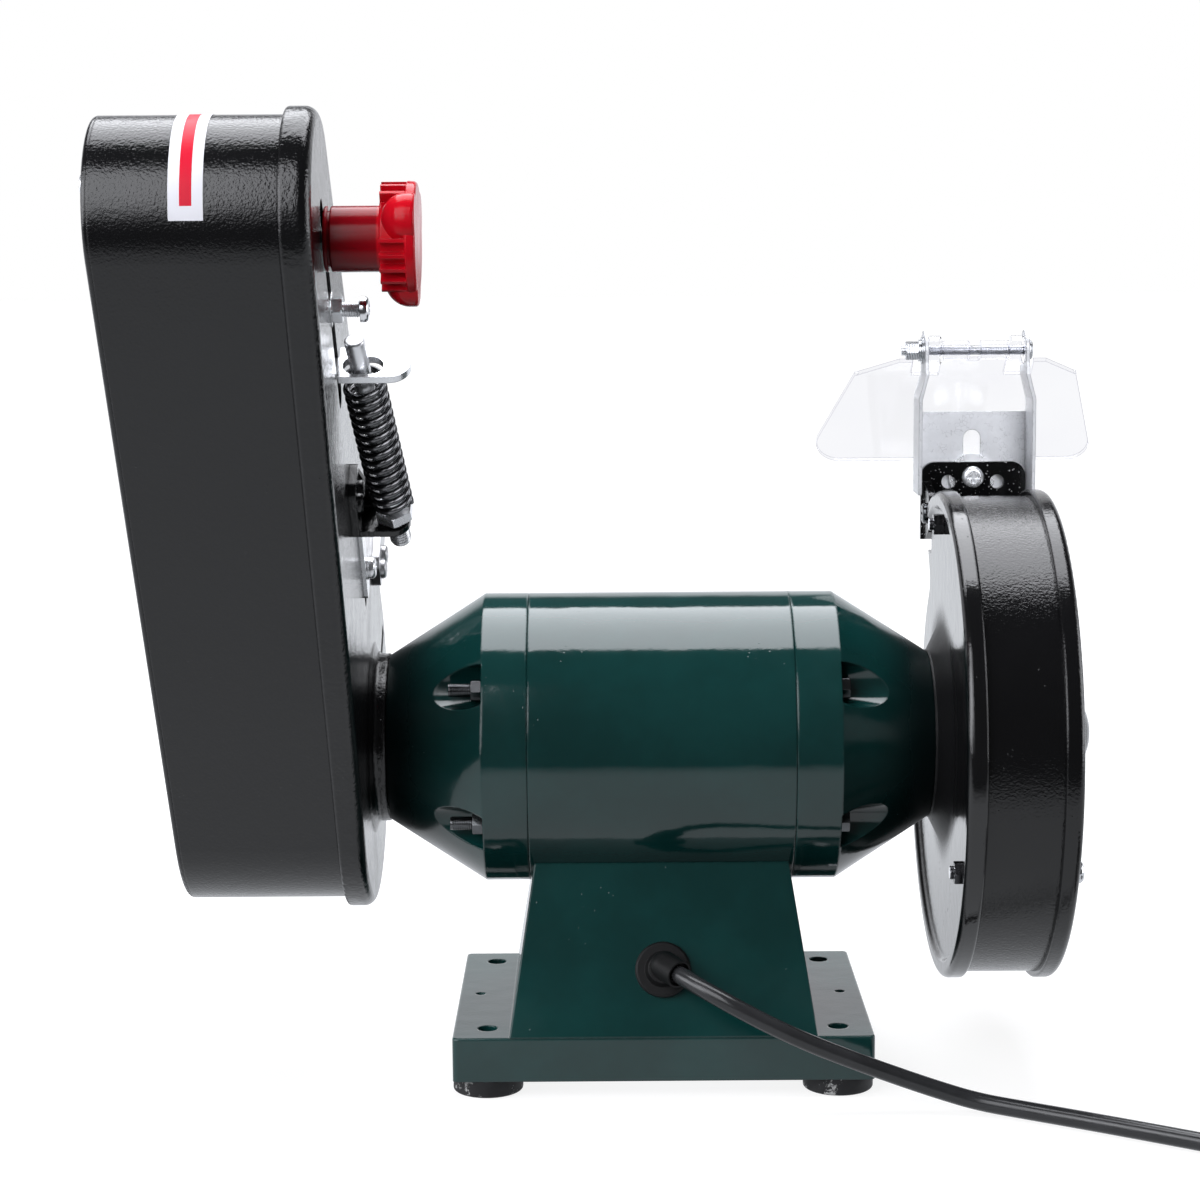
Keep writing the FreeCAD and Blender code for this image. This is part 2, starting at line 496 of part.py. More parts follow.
def flange(x0, s):
    """Side flange with an inward joggle below the hinge; s is the way in."""
    prof = [(x0, 228.0), (x0, 268.5), (x0 + s * 2.7, 279.0), (x0 + s * 2.7, 297.0), (x0 + s * (2.7 + AT), 297.0),
            (x0 + s * (2.7 + AT), 278.6), (x0 + s * AT, 268.1), (x0 + s * AT, 228.0)]
    f = plate_y(prof, 44.0, ARM_Y + AT)
    cutout = plate_x([(40.0, 220.0), (44.0, 228.0), (44.0, 279.0), (45.5, 284.0), (45.5, 300.0), (40.0, 300.0)], 100, 170)
    f = f.cut(cutout)
    f = f.cut(plate_x([(ARM_Y + AT + 1, 262.0), (ARM_Y + AT + 1, 300.0), (62.5, 300.0), (62.5, 284.0), (ARM_Y + AT, 266.0), (ARM_Y + AT, 262.0)], 100, 170))
    top = box(100, 170, 40, 70, HINGE_Z, 300).cut(cylx(99, 171, 8.4, HINGE_Y, HINGE_Z))
    return f.cut(top)


arm = web.fuse(flange(AX0, 1)).fuse(flange(AX1, -1)).removeSplitter()
arm = arm.cut(cylx(100, 170, 2.1, HINGE_Y, HINGE_Z))
arm = rounded(arm, 1.2, lambda e: e.BoundBox.ZLength > 25 and e.BoundBox.XLength < 0.01 and abs(e.CenterOfMass.y - ARM_Y - AT) < 0.01 and (abs(e.CenterOfMass.x - AX0) < 0.01 or abs(e.CenterOfMass.x - AX1) < 0.01))
save("shield_arm", arm)
pin = cylx(104.6, AX1 - 2.7, 2.0, HINGE_Y, HINGE_Z)
head = pan_x(AX1 - 2.7, AX1 - 0.5, 4.2, 0, 0).translated(V(0, HINGE_Y, HINGE_Z))
hw = [tubex(a, b, r, 2.05, HINGE_Y, HINGE_Z) for a, b, r in ((112.9, 113.9, 5.6), (111.7, 112.9, 4.6))]
hn = hex_x(106.4, 111.7, 7.0, HINGE_Y, HINGE_Z, bore=2.0, turn=12)
save("shield_hinge_bolt", group(pin.fuse(head).removeSplitter(), hn, *hw))
save("shield_bushings", group(*[rounded(tubex(a, b, 6.3, 2.05, HINGE_Y, HINGE_Z), 0.8, lambda e: e.BoundBox.XLength < 0.01 and e.BoundBox.ZLength > 10) for a, b in ((115.5, 121.4), (150.6, 156.3))]))

BEND = (68.0, 278.2)
FOOT = (100.0, 238.7)
SH_T = 2.0


def leaf(points, origin, to):
    """Sheet lying along the line from origin towards to in the YZ plane; points are (x, distance)."""
    d = V(0, to[0] - origin[0], to[1] - origin[1])
    d.normalize()
    n = V(0, -d.z, d.y)
    o = V(0, origin[0], origin[1]) - n * (SH_T / 2)
    return outline(points, lambda p: o + V(p[0], 0, 0) + d * p[1]).extrude(n * SH_T)


low_len = math.hypot(FOOT[0] - BEND[0], FOOT[1] - BEND[1])
up_len = math.hypot(HINGE_Y - BEND[0], HINGE_Z - BEND[1])
sheet = leaf([(86.0, 0), (181.3, 0), (194.2, low_len, 9.0), (66.8, low_len, 11.0)], BEND, FOOT)
up = [[(121.9, 0), (150.1, 0), (150.1, up_len - 2.6), (121.9, up_len - 2.6)],
      [(86.0, 0), (110.4, 0), (110.4, 10.0), (104.5, 10.0)],
      [(161.6, 0), (181.3, 0), (167.0, 10.0), (161.6, 10.0)]]
for p in up:
    sheet = sheet.fuse(leaf(p, BEND, (HINGE_Y, HINGE_Z)))
    xs = [q[0] for q in p[:2]]
    sheet = sheet.fuse(cylx(min(xs), max(xs), SH_T / 2, BEND[0], BEND[1]))
for a, b in ((121.9, 133.4), (138.0, 150.1)):
    sheet = sheet.fuse(cylx(a, b, 4.1, HINGE_Y, HINGE_Z))
sheet = sheet.cut(cylx(133.4, 138.0, 6.4, HINGE_Y, HINGE_Z))
sheet = sheet.cut(cylx(100, 170, 2.06, HINGE_Y, HINGE_Z)).removeSplitter()
save("eye_shield", sheet)

# ---- wheel work rest ------------------------------------------------------------
REST_Y0, REST_TRAVEL = 77.0, 9.0
ra = plate_x([(58.0, 90.0, 5.0), (106.0, 90.0, 5.0), (106.0, 110.0, 5.0), (58.0, 110.0, 5.0)], 115.3, POCKET_X)
ra = ra.cut(frame_axis(cylx(110, 125, 5.6, *screw_at[1])))
ra = ra.cut(cylx(110, 125, 2.6, 97.0, 100.0))
save("wheel_rest_arm", ra)
table = plate_z([(111.9, REST_Y0), (161.0, REST_Y0, 1.0), (161.0, 116.0, 5.0), (111.9, 116.0, 5.0)], 128.6, 133.0)
rleg = plate_x([(82.0, 92.0, 5.0), (112.0, 92.0, 5.0), (112.0, 128.6), (82.0, 128.6)], 111.9, 115.0)
table = table.fuse(rleg).removeSplitter()
rs = cylx(110, 117, 2.8, 97.0, 100.0).fuse(cylx(110, 117, 2.8, 97.0 - REST_TRAVEL, 100.0)).fuse(box(110, 117, 97.0 - REST_TRAVEL, 97.0, 97.2, 102.8))
table = table.cut(rs)
save("wheel_rest_table", table)
rscrew = hex_x(107.6, 111.6, 8.0, 97.0, 100.0).fuse(cylx(111.0, 123.0, 2.5, 97.0, 100.0)).removeSplitter()
save("wheel_rest_screw", group(rscrew, hex_x(POCKET_X, POCKET_X + 4.0, 8.0, 97.0, 100.0, bore=2.5)))

# ---- spindle ------------------------------------------------------------------
shaft = turned([
    (-184.0, 0.0), (-184.0, 6.0, 1.0), (-170.0, 6.0), (-170.0, 8.0), (-135.0, 8.0), (-135.0, 8.5), (-BRG_X0, 8.5), (-BRG_X0, 10.0),
    (BRG_X0, 10.0), (BRG_X0, 8.5), (123.0, 8.5), (123.0, 8.0), (150.0, 8.0), (150.0, 6.0), (168.0, 6.0, 1.0), (168.0, 0.0)])
save("spindle_shaft", frame_axis(shaft))
save("rotor", frame_axis(turned([
    (-38.0, 21.0), (-38.0, 31.0, 1.5), (-30.0, 31.0), (-30.0, 33.4), (30.0, 33.4), (30.0, 31.0), (38.0, 31.0, 1.5), (38.0, 21.0),
    (30.0, 21.0), (30.0, 10.0), (-30.0, 10.0), (-30.0, 21.0)])))
save("wheel_flanges", frame_axis(group(*[
    turned([(a, 8.0), (a, 25.0), (b, 25.0, 1.2), (b, 8.0)]) for a, b in ((WHEEL_X0, 123.0), (WHEEL_X1, 150.0))])))
save("grinding_wheel", frame_axis(turned([
    (WHEEL_X0, 8.0), (WHEEL_X0, WHEEL_R, 0.8), (WHEEL_X1, WHEEL_R, 0.8), (WHEEL_X1, 8.0)])))
save("spindle_nuts", frame_axis(group(
    hex_x(150.0, 160.0, 19.0, bore=6.0), hex_x(-182.0, -172.0, 19.0, bore=6.0, turn=15), tubex(-172.0, -170.0, 15.0, 6.0))))
save("drive_drum", frame_axis(turned([
    (BELT_X0, DRUM_R - 0.8), (-160.0, DRUM_R), (BELT_X1, DRUM_R - 0.8), (BELT_X1, 8.0), (-170.0, 8.0), (-170.0, 19.0, 1.0),
    (-178.0, 20.0), (-178.0, 33.0, 2.0), (BELT_X0, 35.0)])))

# ---- belt arm -------------------------------------------------------------------
cast = stadium(RIM_R0, RIM_R1, TOP_C, COV_X1, CAST_X1)
cast = rounded(cast, 4.4, lambda e: at_x(e, CAST_X1))
cast = rounded(cast, 1.4, lambda e: at_x(e, COV_X1))
cast = cast.cut(stadium(COV_R0 - 3.0, COV_R1 - 3.0, TOP_C, COV_X1 - 1, PLATE_X0))
hub = turned([(PLATE_X0 + 1, 20.0), (PLATE_X0 + 1, 40.0), (CAST_X1, 40.0, 2.0), (CAST_X1 + 2.0, 34.5, 1.5), (-110.3, 34.5, 0.6), (-110.3, 20.0)])
cast = cast.fuse(hub).cut(cylx(-130, -100, SPIGOT_R + 0.05))


def slot_z(y, z0, z1, half, x0=-130.0, x1=-110.0):
    """Through slot along the arm, rounded at both ends."""
    return cylx(x0, x1, half, y, z0).fuse(cylx(x0, x1, half, y, z1)).fuse(box(x0, x1, y - half, y + half, z0, z1))


cast = cast.cut(slot_z(0.0, 192.6, 277.0, SLIDE_SLOT))
cast = cast.cut(slot_z(13.0, 70.0, 104.0, 3.0))
cast = cast.cut(cylx(-122, -105, 2.6, -5.0, 142.5)).cut(cylx(-122, -105, 2.6, 2.0, 142.5))
cast = cast.cut(cyly(20, 50, 2.5, -113.6, 0)).cut(cyly(35.6, 60, 4.6, -113.6, 0))
for y in (48.0, 56.0):
    cast = cast.cut(cylx(-122, -105, 2.1, y, 50.0))
save("arm_casting", frame_arm(cast.removeSplitter()))
lock = cyly(SPIGOT_R + 0.3, 37.0, 2.45, -113.6, 0).fuse(rounded(cyly(36.5, 41.0, 4.2, -113.6, 0), 0.6, lambda e: abs(e.CenterOfMass.y - 41.0) < 0.01))
lock = lock.cut(cyly(38.5, 42, 2.0, -113.6, 0)).removeSplitter()
save("arm_lock_screw", frame_arm(lock))

cover = stadium(COV_R0, COV_R1, TOP_C, COV_X0 + 2.0, COV_X1).cut(stadium(COV_R0 - COV_T, COV_R1 - COV_T, TOP_C, COV_X0, COV_X1 + 1))
cover = cover.cut(box(COV_X0 - 1, COV_X1 + 1, 8, 90, 42, 262))
save("belt_cover", frame_arm(cover))
side = stadium(COV_R0, COV_R1, TOP_C, COV_X0, COV_X0 + 2.0)
side = rounded(side, 1.7, lambda e: at_x(e, COV_X0))
sc_at = [(-48.0, 0.0), (0.0, -50.0), (-32.0, 150.0), (-8.0, 296.0)]
for y, z in sc_at:
    side = side.cut(cylx(COV_X0 - 1, COV_X0 + 3, 2.2, y, z))
save("side_cover", frame_arm(side))
save("side_cover_screws", frame_arm(group(*[
    pan_x(COV_X0, COV_X0 - 2.2, 3.9, y, z).fuse(cylx(COV_X0 - 0.3, COV_X0 + 4.0, 2.15, y, z)).removeSplitter() for y, z in sc_at])))

ri0, ri1 = DRUM_R + BELT_GAP, IDLER_R + BELT_GAP
belt = stadium(ri0 + BELT_T, ri1 + BELT_T, BELT_C, BELT_X0, BELT_X1).cut(stadium(ri0, ri1, BELT_C, BELT_X0 - 1, BELT_X1 + 1))
save("sanding_belt", frame_arm(belt))
bb = math.asin((ri0 - ri1) / BELT_C)
fn, fu = V(0, cos(bb), sin(bb)), V(0, -sin(bb), cos(bb))
pl0 = fn * (ri0 - 0.6) + fu * 62
pan = box(-183.5, -136.5, -4.0, 0, 0, 142)
pan = rounded(pan, 2.4, lambda e: e.BoundBox.XLength > 40 and abs(e.CenterOfMass.y) < 0.01)
pan.rotate(V(0, 0, 0), V(1, 0, 0), math.degrees(bb))
pan = pan.translated(pl0)
pan = pan.fuse(box(-139.0, -123.8, 23.5, 30.5, 78, 102)).fuse(box(-123.8, PLATE_X0, 7.0, 30.5, 76, 104)).removeSplitter()
pan = pan.cut(cylx(-126, -115, 2.6, 13.0, 88.0))
save("platen", frame_arm(pan))
strip = plate_x([(8.0, 74.0, 3.0), (18.0, 74.0, 3.0), (18.0, 112.0, 3.0), (8.0, 112.0, 3.0)], CAST_X1, CAST_X1 + 1.6).cut(cylx(-120, -110, 2.6, 13.0, 88.0))
psc = pan_x(CAST_X1 + 2.5, CAST_X1 + 5.3, 4.3, 13.0, 88.0).fuse(cylx(-123.8, CAST_X1 + 2.8, 2.5, 13.0, 88.0)).removeSplitter()
pws = tubex(CAST_X1 + 1.6, CAST_X1 + 2.5, 4.7, 2.55, 13.0, 88.0)
save("platen_bracket", frame_arm(group(strip, psc, pws)))

rest = plate_z([(-187.0, 38.6), (-129.0, 38.6), (-129.0, 63.0), (CAST_X1 + 3.0, 63.0), (CAST_X1 + 3.0, 96.0, 5.0), (-187.0, 96.0, 5.0)], 56.0, 60.0)
rest = rest.fuse(plate_x([(42.0, 44.0, 4.0), (90.0, 44.0, 8.0), (90.0, 60.0), (42.0, 60.0, 4.0)], CAST_X1, CAST_X1 + 3.0)).removeSplitter()
for y in (48.0, 56.0):
    rest = rest.cut(cylx(-118, -110, 2.1, y, 50.0))
rsc = [pan_x(CAST_X1 + 3.0, CAST_X1 + 5.4, 4.0, y, 50.0).fuse(cylx(PLATE_X0, CAST_X1 + 3.3, 2.05, y, 50.0)).removeSplitter() for y in (48.0, 56.0)]
save("belt_rest", frame_arm(group(rest, *rsc)))

# ---- belt tension ------------------------------------------------------------------
rl, rt = V(*ROD_LOW), V(*ROD_TOP)
rd = rt.sub(rl)
rod_len = rd.Length
rd.normalize()
tilt = math.degrees(math.atan2(rd.x, rd.z))


def on_rod(s):
    """Place a shape modelled up the Z axis on the rod, from its lower end."""
    s = s.copy()
    s.rotate(V(0, 0, 0), V(0, 1, 0), tilt)
    return s.translated(rl)


sb = plate_z([(CAST_X1, -8.0), (-95.0, -8.0, 7.0), (-95.0, 8.0, 7.0), (CAST_X1, 8.0)], 127.2, 130.0)
sb = sb.fuse(plate_x([(-9.0, 127.2, 2.0), (9.0, 127.2, 2.0), (9.0, 152.0, 5.0), (-9.0, 152.0, 5.0)], CAST_X1, CAST_X1 + 3.0)).removeSplitter()
sb = sb.fuse(plate_y([(CAST_X1 + 3.0, 130.0), (-106.0, 130.0), (CAST_X1 + 3.0, 148.0)], 5.5, 8.0)).removeSplitter()
sb = sb.cut(on_rod(cylz(-5, 60, ROD_R + 0.05)))
for y in (-5.0, 2.0):
    sb = sb.cut(cylx(-122, -105, 2.6, y, 142.5))
sbs = [pan_x(CAST_X1 + 3.0, CAST_X1 + 5.2, 3.8, y, 142.5).fuse(cylx(PLATE_X0, CAST_X1 + 3.3, 2.55, y, 142.5)).removeSplitter() for y in (-5.0, 2.0)]
save("spring_bracket", frame_arm(group(sb, *sbs)))
rod = rounded(cylz(0, rod_len, ROD_R), 0.8, lambda e: at_z(e, 0) or at_z(e, rod_len))
nut = hex_x(14.1, 18.5, 13.0, bore=ROD_R)
nut.rotate(V(0, 0, 0), V(0, 1, 0), -90)
save("tension_rod", frame_arm(group(on_rod(rod), on_rod(nut))))

s0, s1, turns = 20.0, 84.4, 15.5
pitch = (s1 - s0) / turns
helix = Part.makeHelix(pitch, s1 - s0, SPRING_R)
w = Part.Wire([Part.Circle(V(SPRING_R, 0, 0), V(0, 1, pitch / (2 * math.pi * SPRING_R)), WIRE_R).toShape()])
spring = Part.Wire(helix.Edges).makePipeShell([w], True, True)
print("spring volume ratio %.4f" % (spring.Volume / (math.pi * WIRE_R ** 2 * turns * math.hypot(2 * math.pi * SPRING_R, pitch))))
save("tension_spring", frame_arm(on_rod(spring.translated(V(0, 0, s0)))))

car = plate_x([(-14.0, 196.0, 4.0), (14.0, 196.0, 4.0), (14.0, 276.0, 10.0), (-14.0, 276.0, 10.0)], -125.0, PLATE_X0 - 0.3)
car = car.fuse(box(PLATE_X0 - 0.4, -115.9, -4.2, 4.2, 204.2, 207.2))
car = car.fuse(box(PLATE_X0 - 0.4, -116.4, -4.2, 4.2, TRACK_Z - 4.5, TRACK_Z + 4.5))
tab = plate_z([(-116.3, -6.2), (-90.6, -6.2, 7.7), (-90.6, 9.6, 7.7), (-116.3, 9.6)], 204.2, 207.2)
tab = tab.cut(cylz(200, 210, 4.5, -110.4, 0)).cut(cylz(200, 210, 4.5, -104.8, 0)).cut(box(-110.4, -104.8, -4.5, 4.5, 200, 210))
car = car.fuse(tab).removeSplitter()
car = car.cut(cylx(-126, -115, 2.6, 0, TRACK_Z)).cut(cylx(-126, -115, 4.0, 0, BELT_C))
nuts = [hex_x(-116.4, -112.7, 8.6, 0.0, TRACK_Z, bore=2.56, turn=30)]
save("tension_carriage", frame_arm(group(car, *nuts)))
tscrew = pan_x(-106.6, -103.4, 4.6, 0, TRACK_Z).fuse(cylx(-124.6, -106.3, 2.5, 0, TRACK_Z)).removeSplitter()
save("tracking_screw", frame_arm(tscrew))
axle = turned([(-186.5, 0), (-186.5, 8.0, 0.8), (-185.0, 8.0), (-185.0, 6.0), (-134.8, 6.0), (-134.8, 9.0), (-125.0, 9.0), (-125.0, 4.0), (-100.0, 4.0, 0.6), (-100.0, 0)])
save("idler_axle", frame_arm(axle.translated(V(0, 0, BELT_C))))
roller = turned([(-184.6, 6.05), (-184.6, IDLER_R - 0.5, 0.6), (-160.0, IDLER_R), (-135.2, IDLER_R - 0.5, 0.6), (-135.2, 6.05)])
save("idler_roller", frame_arm(roller.translated(V(0, 0, BELT_C))))

HEAD_X0, DISC_X0, KNOB_X1 = -97.0, -88.2, -84.6
knob = turned([
    (-116.4, 4.05), (-116.4, 11.2, 0.6), (-115.0, 11.2, 0.4), (-115.0, 9.6), (-114.2, 9.6), (-114.2, 11.25, 0.6), (HEAD_X0, 11.25),
    (HEAD_X0, 15.6, 0.8), (DISC_X0, 15.6), (DISC_X0, 19.6, 0.6), (KNOB_X1, 19.2, 1.4), (KNOB_X1, 0.0), (-99.6, 0.0), (-99.6, 4.05)])
# three smooth lobes, and ribs between them behind the disc
for k in range(3):
    a = rad(180.0 - LEAN - 28.0 + 120.0 * k)
    c = V(DISC_X0 + 0.6, 14.6 * cos(a), 14.6 * sin(a))
    lobe = cylx(c.x, KNOB_X1, 8.6, c.y, c.z)
    lobe = rounded(lobe, 1.3, lambda e: at_x(e, KNOB_X1))
    knob = knob.fuse(lobe).fuse(Part.makeSphere(8.6, c).common(box(-110, c.x + 0.2, -60, 60, -60, 60)))
for k in range(3):
    for i in range(-2, 3):
        a = 180.0 - LEAN + 34.0 + 120.0 * k + 16.0 * i
        rib = box(HEAD_X0 + 0.2, DISC_X0 + 0.5, 12.0, 19.2, -0.65, 0.65)
        rib.rotate(V(0, 0, 0), V(1, 0, 0), a)
        knob = knob.fuse(rib)
knob = knob.cut(cylx(-120, -99.6, 4.05)).removeSplitter()
save("tracking_knob", frame_arm(knob.translated(V(0, 0, BELT_C))))
print("done")
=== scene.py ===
import math

import bpy
from mathutils import Matrix, Vector


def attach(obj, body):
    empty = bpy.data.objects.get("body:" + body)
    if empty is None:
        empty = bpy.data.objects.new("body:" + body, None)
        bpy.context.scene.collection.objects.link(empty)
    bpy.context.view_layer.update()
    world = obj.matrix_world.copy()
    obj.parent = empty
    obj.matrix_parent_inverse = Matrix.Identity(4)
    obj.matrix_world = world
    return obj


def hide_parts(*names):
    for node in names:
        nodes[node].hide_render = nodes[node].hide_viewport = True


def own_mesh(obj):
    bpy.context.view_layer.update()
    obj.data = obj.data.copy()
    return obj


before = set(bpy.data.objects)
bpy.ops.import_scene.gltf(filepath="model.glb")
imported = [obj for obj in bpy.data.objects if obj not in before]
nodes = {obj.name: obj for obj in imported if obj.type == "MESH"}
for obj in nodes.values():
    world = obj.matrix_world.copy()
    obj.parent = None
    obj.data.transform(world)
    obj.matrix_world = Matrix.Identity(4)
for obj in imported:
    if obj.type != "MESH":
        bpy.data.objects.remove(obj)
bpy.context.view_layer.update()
scene = bpy.context.scene
MM = 0.001


def rad(a):
    return math.radians(a)


# ---- camera -------------------------------------------------------------------
def make_camera():
    pitch, yaw, roll = rad(7.834), rad(0.09), rad(-0.428)
    fwd = Vector((-math.sin(yaw) * math.cos(pitch), math.cos(yaw) * math.cos(pitch), -math.sin(pitch)))
    right = Vector((math.cos(yaw), math.sin(yaw), 0.0))
    up = right.cross(fwd)
    r = right * math.cos(roll) + up * math.sin(roll)
    u = up * math.cos(roll) - right * math.sin(roll)
    data = bpy.data.cameras.new("camera")
    data.sensor_width = 36.0
    data.lens = 81.713
    data.clip_start, data.clip_end = 0.01, 50.0
    cam = bpy.data.objects.new("camera", data)
    scene.collection.objects.link(cam)
    m = Matrix((r, u, -fwd)).transposed().to_4x4()
    m.translation = Vector((-22.2, -1105.44, 342.38)) * MM
    cam.matrix_world = m
    scene.camera = cam


make_camera()


# ---- shader helpers -----------------------------------------------------------
class Shader:
    def __init__(self, name):
        self.mat = bpy.data.materials.new(name)
        self.mat.use_nodes = True
        self.tree = self.mat.node_tree
        self.bsdf = self.tree.nodes["Principled BSDF"]
        self.coord = self.tree.nodes.new("ShaderNodeTexCoord").outputs["Object"]

    def add(self, kind, props=None, **inputs):
        n = self.tree.nodes.new(kind)
        for k, v in (props or {}).items():
            setattr(n, k, v)
        for k, v in inputs.items():
            self.put(n.inputs[k.replace("_", " ")], v)
        return n

    def put(self, socket, v):
        if isinstance(v, bpy.types.NodeSocket):
            self.tree.links.new(v, socket)
        else:
            socket.default_value = v

    def set(self, **values):
        for k, v in values.items():
            self.put(self.bsdf.inputs[k.replace("_", " ")], v)
        return self

    def stretch(self, x, y, z):
        return self.add("ShaderNodeMapping", Vector=self.coord, Scale=(x, y, z)).outputs["Vector"]

    def noise(self, scale, detail=2.0, roughness=0.5, vector=None, distortion=0.0):
        return self.add("ShaderNodeTexNoise", Vector=vector or self.coord, Scale=scale, Detail=detail,
                        Roughness=roughness, Distortion=distortion).outputs["Fac"]

    def cells(self, scale, feature="F1", output="Distance", vector=None):
        return self.add("ShaderNodeTexVoronoi", {"feature": feature}, Vector=vector or self.coord, Scale=scale).outputs[output]

    def range(self, value, a, b, c=0.0, d=1.0, smooth=True):
        n = self.add("ShaderNodeMapRange", {"interpolation_type": "SMOOTHSTEP" if smooth else "LINEAR"}, Value=value)
        for k, v in (("From Min", a), ("From Max", b), ("To Min", c), ("To Max", d)):
            n.inputs[k].default_value = v
        return n.outputs["Result"]

    def math(self, op, a, b=0.0):
        n = self.add("ShaderNodeMath", {"operation": op})
        self.put(n.inputs[0], a)
        self.put(n.inputs[1], b)
        return n.outputs["Value"]

    def mix(self, fac, a, b):
        n = self.add("ShaderNodeMix", {"data_type": "RGBA"})
        self.put(n.inputs["Factor"], fac)
        for sock, v in ((n.inputs[6], a), (n.inputs[7], b)):
            self.put(sock, v if isinstance(v, bpy.types.NodeSocket) else (*v, 1.0))
        return n.outputs[2]

    def ramp(self, fac, stops):
        n = self.add("ShaderNodeValToRGB", Fac=fac)
        els = n.color_ramp.elements
        while len(els) < len(stops):
            els.new(0.5)
        for e, (pos, col) in zip(els, stops):
            e.position, e.color = pos, (*col, 1.0)
        return n.outputs["Color"]

    def bevel(self, radius, samples=4):
        return self.add("ShaderNodeBevel", {"samples": samples}, Radius=radius).outputs["Normal"]

    def bump(self, height, distance, normal=None, strength=1.0, invert=False):
        n = self.add("ShaderNodeBump", {"invert": invert}, Strength=strength, Distance=distance, Height=height)
        if normal is not None:
            self.put(n.inputs["Normal"], normal)
        return n.outputs["Normal"]

    def edges(self, normal, lo=0.97, hi=0.80):
        """1 on the rounded edges that normal comes from, 0 on flat and gently curved faces."""
        g = self.add("ShaderNodeNewGeometry").outputs["Normal"]
        n = self.add("ShaderNodeVectorMath", {"operation": "DOT_PRODUCT"})
        self.put(n.inputs[0], normal)
        self.put(n.inputs[1], g)
        return self.range(n.outputs["Value"], lo, hi)

    def xyz(self, i):
        return self.add("ShaderNodeSeparateXYZ", Vector=self.coord).outputs[i]


def shade(c, k):
    return tuple(min(1.0, x * k) for x in c)


def paint(name, color, rough, peel=(900.0, 0.000016), wave=(160.0, 0.00002), edge=0.0006, edge_wear_and_highlight=(0.10, 0.10, 0.10), dust=0.5, spec=0.5, haze=0.0, chip=None, over=None):
    """Sprayed enamel: orange peel, soft waves, dust nibs under the film, lighter thin edges (partly thinner paint and
    wear, partly a painted edge highlight), and painted shade with duller paint towards the motor's noses.
    """
    s = Shader(name)
    n = s.bevel(edge)
    broad = s.noise(22.0, 4.0, 0.6)
    fine = s.noise(peel[0], 2.0, 0.55)
    nibs = s.cells(300.0)
    spot = s.math("MULTIPLY", s.range(nibs, 0.13, 0.04), s.range(s.noise(48.0, 2.0), 0.53, 0.64))
    # lighter edges: partly thinner paint and wear (chips on the bracket), partly a painted edge highlight
    mask = s.math("MULTIPLY", s.edges(n), s.range(s.noise(420.0, 3.0, 0.6), 0.42, 0.72))
    body = s.mix(s.range(broad, 0.35, 0.70), shade(color, 0.86), shade(color, 1.16))
    body = s.mix(s.math("MULTIPLY", spot, dust * 0.5), body, shade(color, 2.2))
    film = s.range(s.noise(16.0, 4.0, 0.6, s.stretch(0.55, 1.0, 1.0), 0.4), 0.50, 0.78)
    if haze:
        body = s.mix(s.math("MULTIPLY", film, haze), body, (0.16, 0.19, 0.20))
    if chip:
        body = s.mix(s.math("MULTIPLY", s.range(s.cells(640.0), 0.22, 0.14), s.range(s.noise(260.0, 3.0), 0.44, 0.52)), body, chip)
    r = s.range(s.noise(60.0, 5.0, 0.65), 0.30, 0.75, rough * 0.8, rough * 1.25, smooth=False)
    # painted shade: in the given zone (by |x| on the green, by distance from the axis on the dish) the paint is mixed
    # to the given colour, on the green a darker green for the shade and mirrored black around the motor's noses; the
    # zone is also rougher and less glossy
    if over:
        if over[0] == "x":
            d = s.math("ABSOLUTE", s.xyz(0))
        else:
            z = s.math("SUBTRACT", s.xyz(2), 0.134)
            d = s.math("SQRT", s.math("ADD", s.math("MULTIPLY", s.xyz(1), s.xyz(1)), s.math("MULTIPLY", z, z)))
        painted_shade_dull = s.range(d, over[1], over[2])
        body = s.mix(painted_shade_dull, body, over[3])
        r = s.math("ADD", r, s.math("MULTIPLY", painted_shade_dull, over[4]))
        spec = s.range(painted_shade_dull, 0.0, 1.0, spec, spec * 0.4)
    s.set(Base_Color=s.mix(s.math("MULTIPLY", mask, 0.30), body, edge_wear_and_highlight))
    s.set(Roughness=s.math("ADD", s.math("ADD", r, s.math("MULTIPLY", film, rough * 0.7)), s.math("MULTIPLY", spot, 0.10)))
    n = s.bump(s.noise(wave[0], 1.0), wave[1], n)
    n = s.bump(fine, peel[1], n)
    n = s.bump(spot, 0.00011 * dust, n)
    s.set(Normal=n, IOR=1.5, Specular_IOR_Level=spec)
    return s.mat


